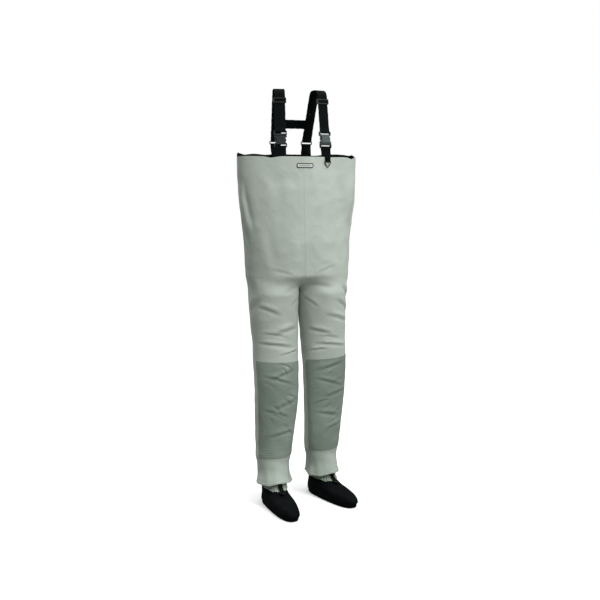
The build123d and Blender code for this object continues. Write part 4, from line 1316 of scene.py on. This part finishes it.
def makeChestLoop():
    wall = brace["loopWall"]
    inner = brace["ringWire"] + brace["gap"]
    barY = frontReach - form["gap"] - 0.0004 - (inner + wall)
    barZ = form["rim"] - brace["loopDrop"]
    top = form["rim"] + 0.002
    insideY = frontReach + lining - form["gap"]
    middle = inner + wall / 2
    bend = [(barY - middle * cos(a), barZ - middle * sin(a)) for a in np.linspace(0, pi, 14)]
    front = [(barY - middle, z) for z in np.linspace(top - 0.003, barZ + 0.001, 6)]
    back = [(barY + middle, z) for z in np.linspace(barZ + 0.001, top - 0.003, 6)]
    over = [(barY - middle, top - 0.003), (barY - middle + 0.0012, top - wall / 2),
            (insideY - 0.0014, top - wall / 2), (insideY - wall / 2, top - 0.002),
            (insideY - wall / 2, top - 0.014)]
    lines = {"chestLoopHang": front + bend + back, "chestLoopOver": over}
    parts = [ribbon(name, [braceSpot(1, y, z) for y, z in line], braceAcross(1), brace["loopWidth"], wall,
                    None) for name, line in lines.items()]
    piece = joinPieces(parts, "chestLoop")
    smoothShade(piece, 50.0)
    dress(piece, "webbing", "webbing")
    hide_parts("chest_loop")


def makeBraces():
    for name, leg in stance.items():
        side = leg["side"]
        makeFrontTab(name, side)
        makeFrontLoop(name, side)
        makeShoulderStrap(name, side)
        makeBackStrap(name, side)
        makeBackTab(name, side)
        makeBraceStitches(name, side)
    makeCrossStrap()
    makeChestLoop()
    print("braces made")


hardwareLooks = {  # by how a node's name starts; the first that fits is taken
    "buckle_socket_left": "greyPlastic", "buckle_": "darkPlastic", "plug_arm_": "darkPlastic",
    "adjuster_": "blackPlastic", "back_ring_": "metal", "chest_ring": "metal",
    "lace_hook_": "metal", "lace_tab_": "rimElastic", "chest_badge": "badge",
}


def finishHardware():
    for node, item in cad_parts.items():
        fits = [look for start, look in hardwareLooks.items() if node.startswith(start)]
        if fits:
            item.data.materials.clear()
            item.data.materials.append(paints[fits[0]])
    print("hardware painted")


# floor, light and camera
studio = {
    "lens": 50.05, "distance": 3.2, "height": 1.20, "turn": 19.0, "tilt": 7.56, "shift": 2.5 / 600,
    "ambient": 0.20, "floorGlow": 0.24, "bounce": 0.26, "floorSize": 60.0,
    "overhead": 2.1, "overheadSpread": 70.0,
    "lamps": [  # name, place, size, power, what it points at
        ("keyLight", (1.15, -2.3, 2.75), 1.1, 66.0, (0.0, 0.0, 0.8)),
        ("topLight", (0.9, -0.3, 3.5), 2.0, 30.0, (0.0, 0.0, 0.0)),
        ("backLight", (-2.0, 2.8, 2.2), 1.8, 30.0, (0.0, 0.0, 0.8)),
    ],
}


def makeStudio():
    deselectAll()
    bpy.ops.mesh.primitive_plane_add(size=studio["floorSize"], location=(0, 0, 0))
    floor = bpy.context.object
    floor.name = "floor"
    paint = Paint("floorPaper")
    fine = paint.grain(paint.place(), 3.0, 2.0)
    paper = paint.blend(fine, rgb(246, 246, 246), rgb(249, 249, 249))
    paint.finish(Base_Color=paper, Roughness=0.9, Specular_IOR_Level=0.1,
                 Emission_Color=(1.0, 1.0, 1.0, 1.0), Emission_Strength=studio["floorGlow"])
    bounce = paint.tree.nodes.new("ShaderNodeBsdfDiffuse")  # light it throws back is less than it shows
    bounce.inputs["Color"].default_value = (studio["bounce"],) * 3 + (1.0,)
    seen = Signal(paint, paint.tree.nodes.new("ShaderNodeLightPath").outputs["Is Camera Ray"])
    shown = Signal(paint, paint.shader.outputs[0])
    mix = paint.node("ShaderNodeMixShader", {}, {0: seen, 1: Signal(paint, bounce.outputs[0]), 2: shown})
    paint.tree.links.new(mix.socket, paint.tree.nodes["Material Output"].inputs["Surface"])
    floor.data.materials.append(paint.material)
    world = bpy.data.worlds.new("studioWorld")
    world.use_nodes = True
    tree = world.node_tree
    seen, lit = tree.nodes["Background"], tree.nodes.new("ShaderNodeBackground")
    seen.inputs["Color"].default_value = (1.0, 1.0, 1.0, 1.0)
    lit.inputs["Color"].default_value = (0.97, 0.985, 1.0, 1.0)
    lit.inputs["Strength"].default_value = studio["ambient"]
    path, mix = tree.nodes.new("ShaderNodeLightPath"), tree.nodes.new("ShaderNodeMixShader")
    tree.links.new(path.outputs["Is Camera Ray"], mix.inputs[0])
    tree.links.new(lit.outputs[0], mix.inputs[1])
    tree.links.new(seen.outputs[0], mix.inputs[2])
    tree.links.new(mix.outputs[0], tree.nodes["World Output"].inputs["Surface"])
    bpy.context.scene.world = world
    bpy.context.scene.view_settings.view_transform = "Standard"
    bpy.ops.object.light_add(type="SUN", location=(0.0, 0.0, 5.0))
    sun = bpy.context.object
    sun.name = "overheadPanel"
    sun.data.energy = studio["overhead"]
    sun.data.angle = radians(studio["overheadSpread"])
    for name, place, size, power, aim in studio["lamps"]:
        bpy.ops.object.light_add(type="AREA", location=place)
        light = bpy.context.object
        light.name = name
        light.data.energy = power
        light.data.size = size
        light.rotation_euler = (Vector(aim) - Vector(place)).to_track_quat("-Z", "Y").to_euler()
    turn = radians(studio["turn"])
    away = -studio["distance"]
    bpy.ops.object.camera_add(
        location=(away * sin(turn), away * cos(turn) + form["originShift"], studio["height"]),
        rotation=(radians(90 - studio["tilt"]), 0.0, -turn))
    camera = bpy.context.object
    camera.data.lens = studio["lens"]
    camera.data.sensor_width = 36.0
    camera.data.shift_x = studio["shift"]
    camera.data.clip_end = 200.0
    bpy.context.scene.camera = camera
    print("studio made")


makeShell()
makePatches()
makeInside()
makeGuards()
makeSocks()
makeStitches()
makeBraces()
finishHardware()
makeStudio()
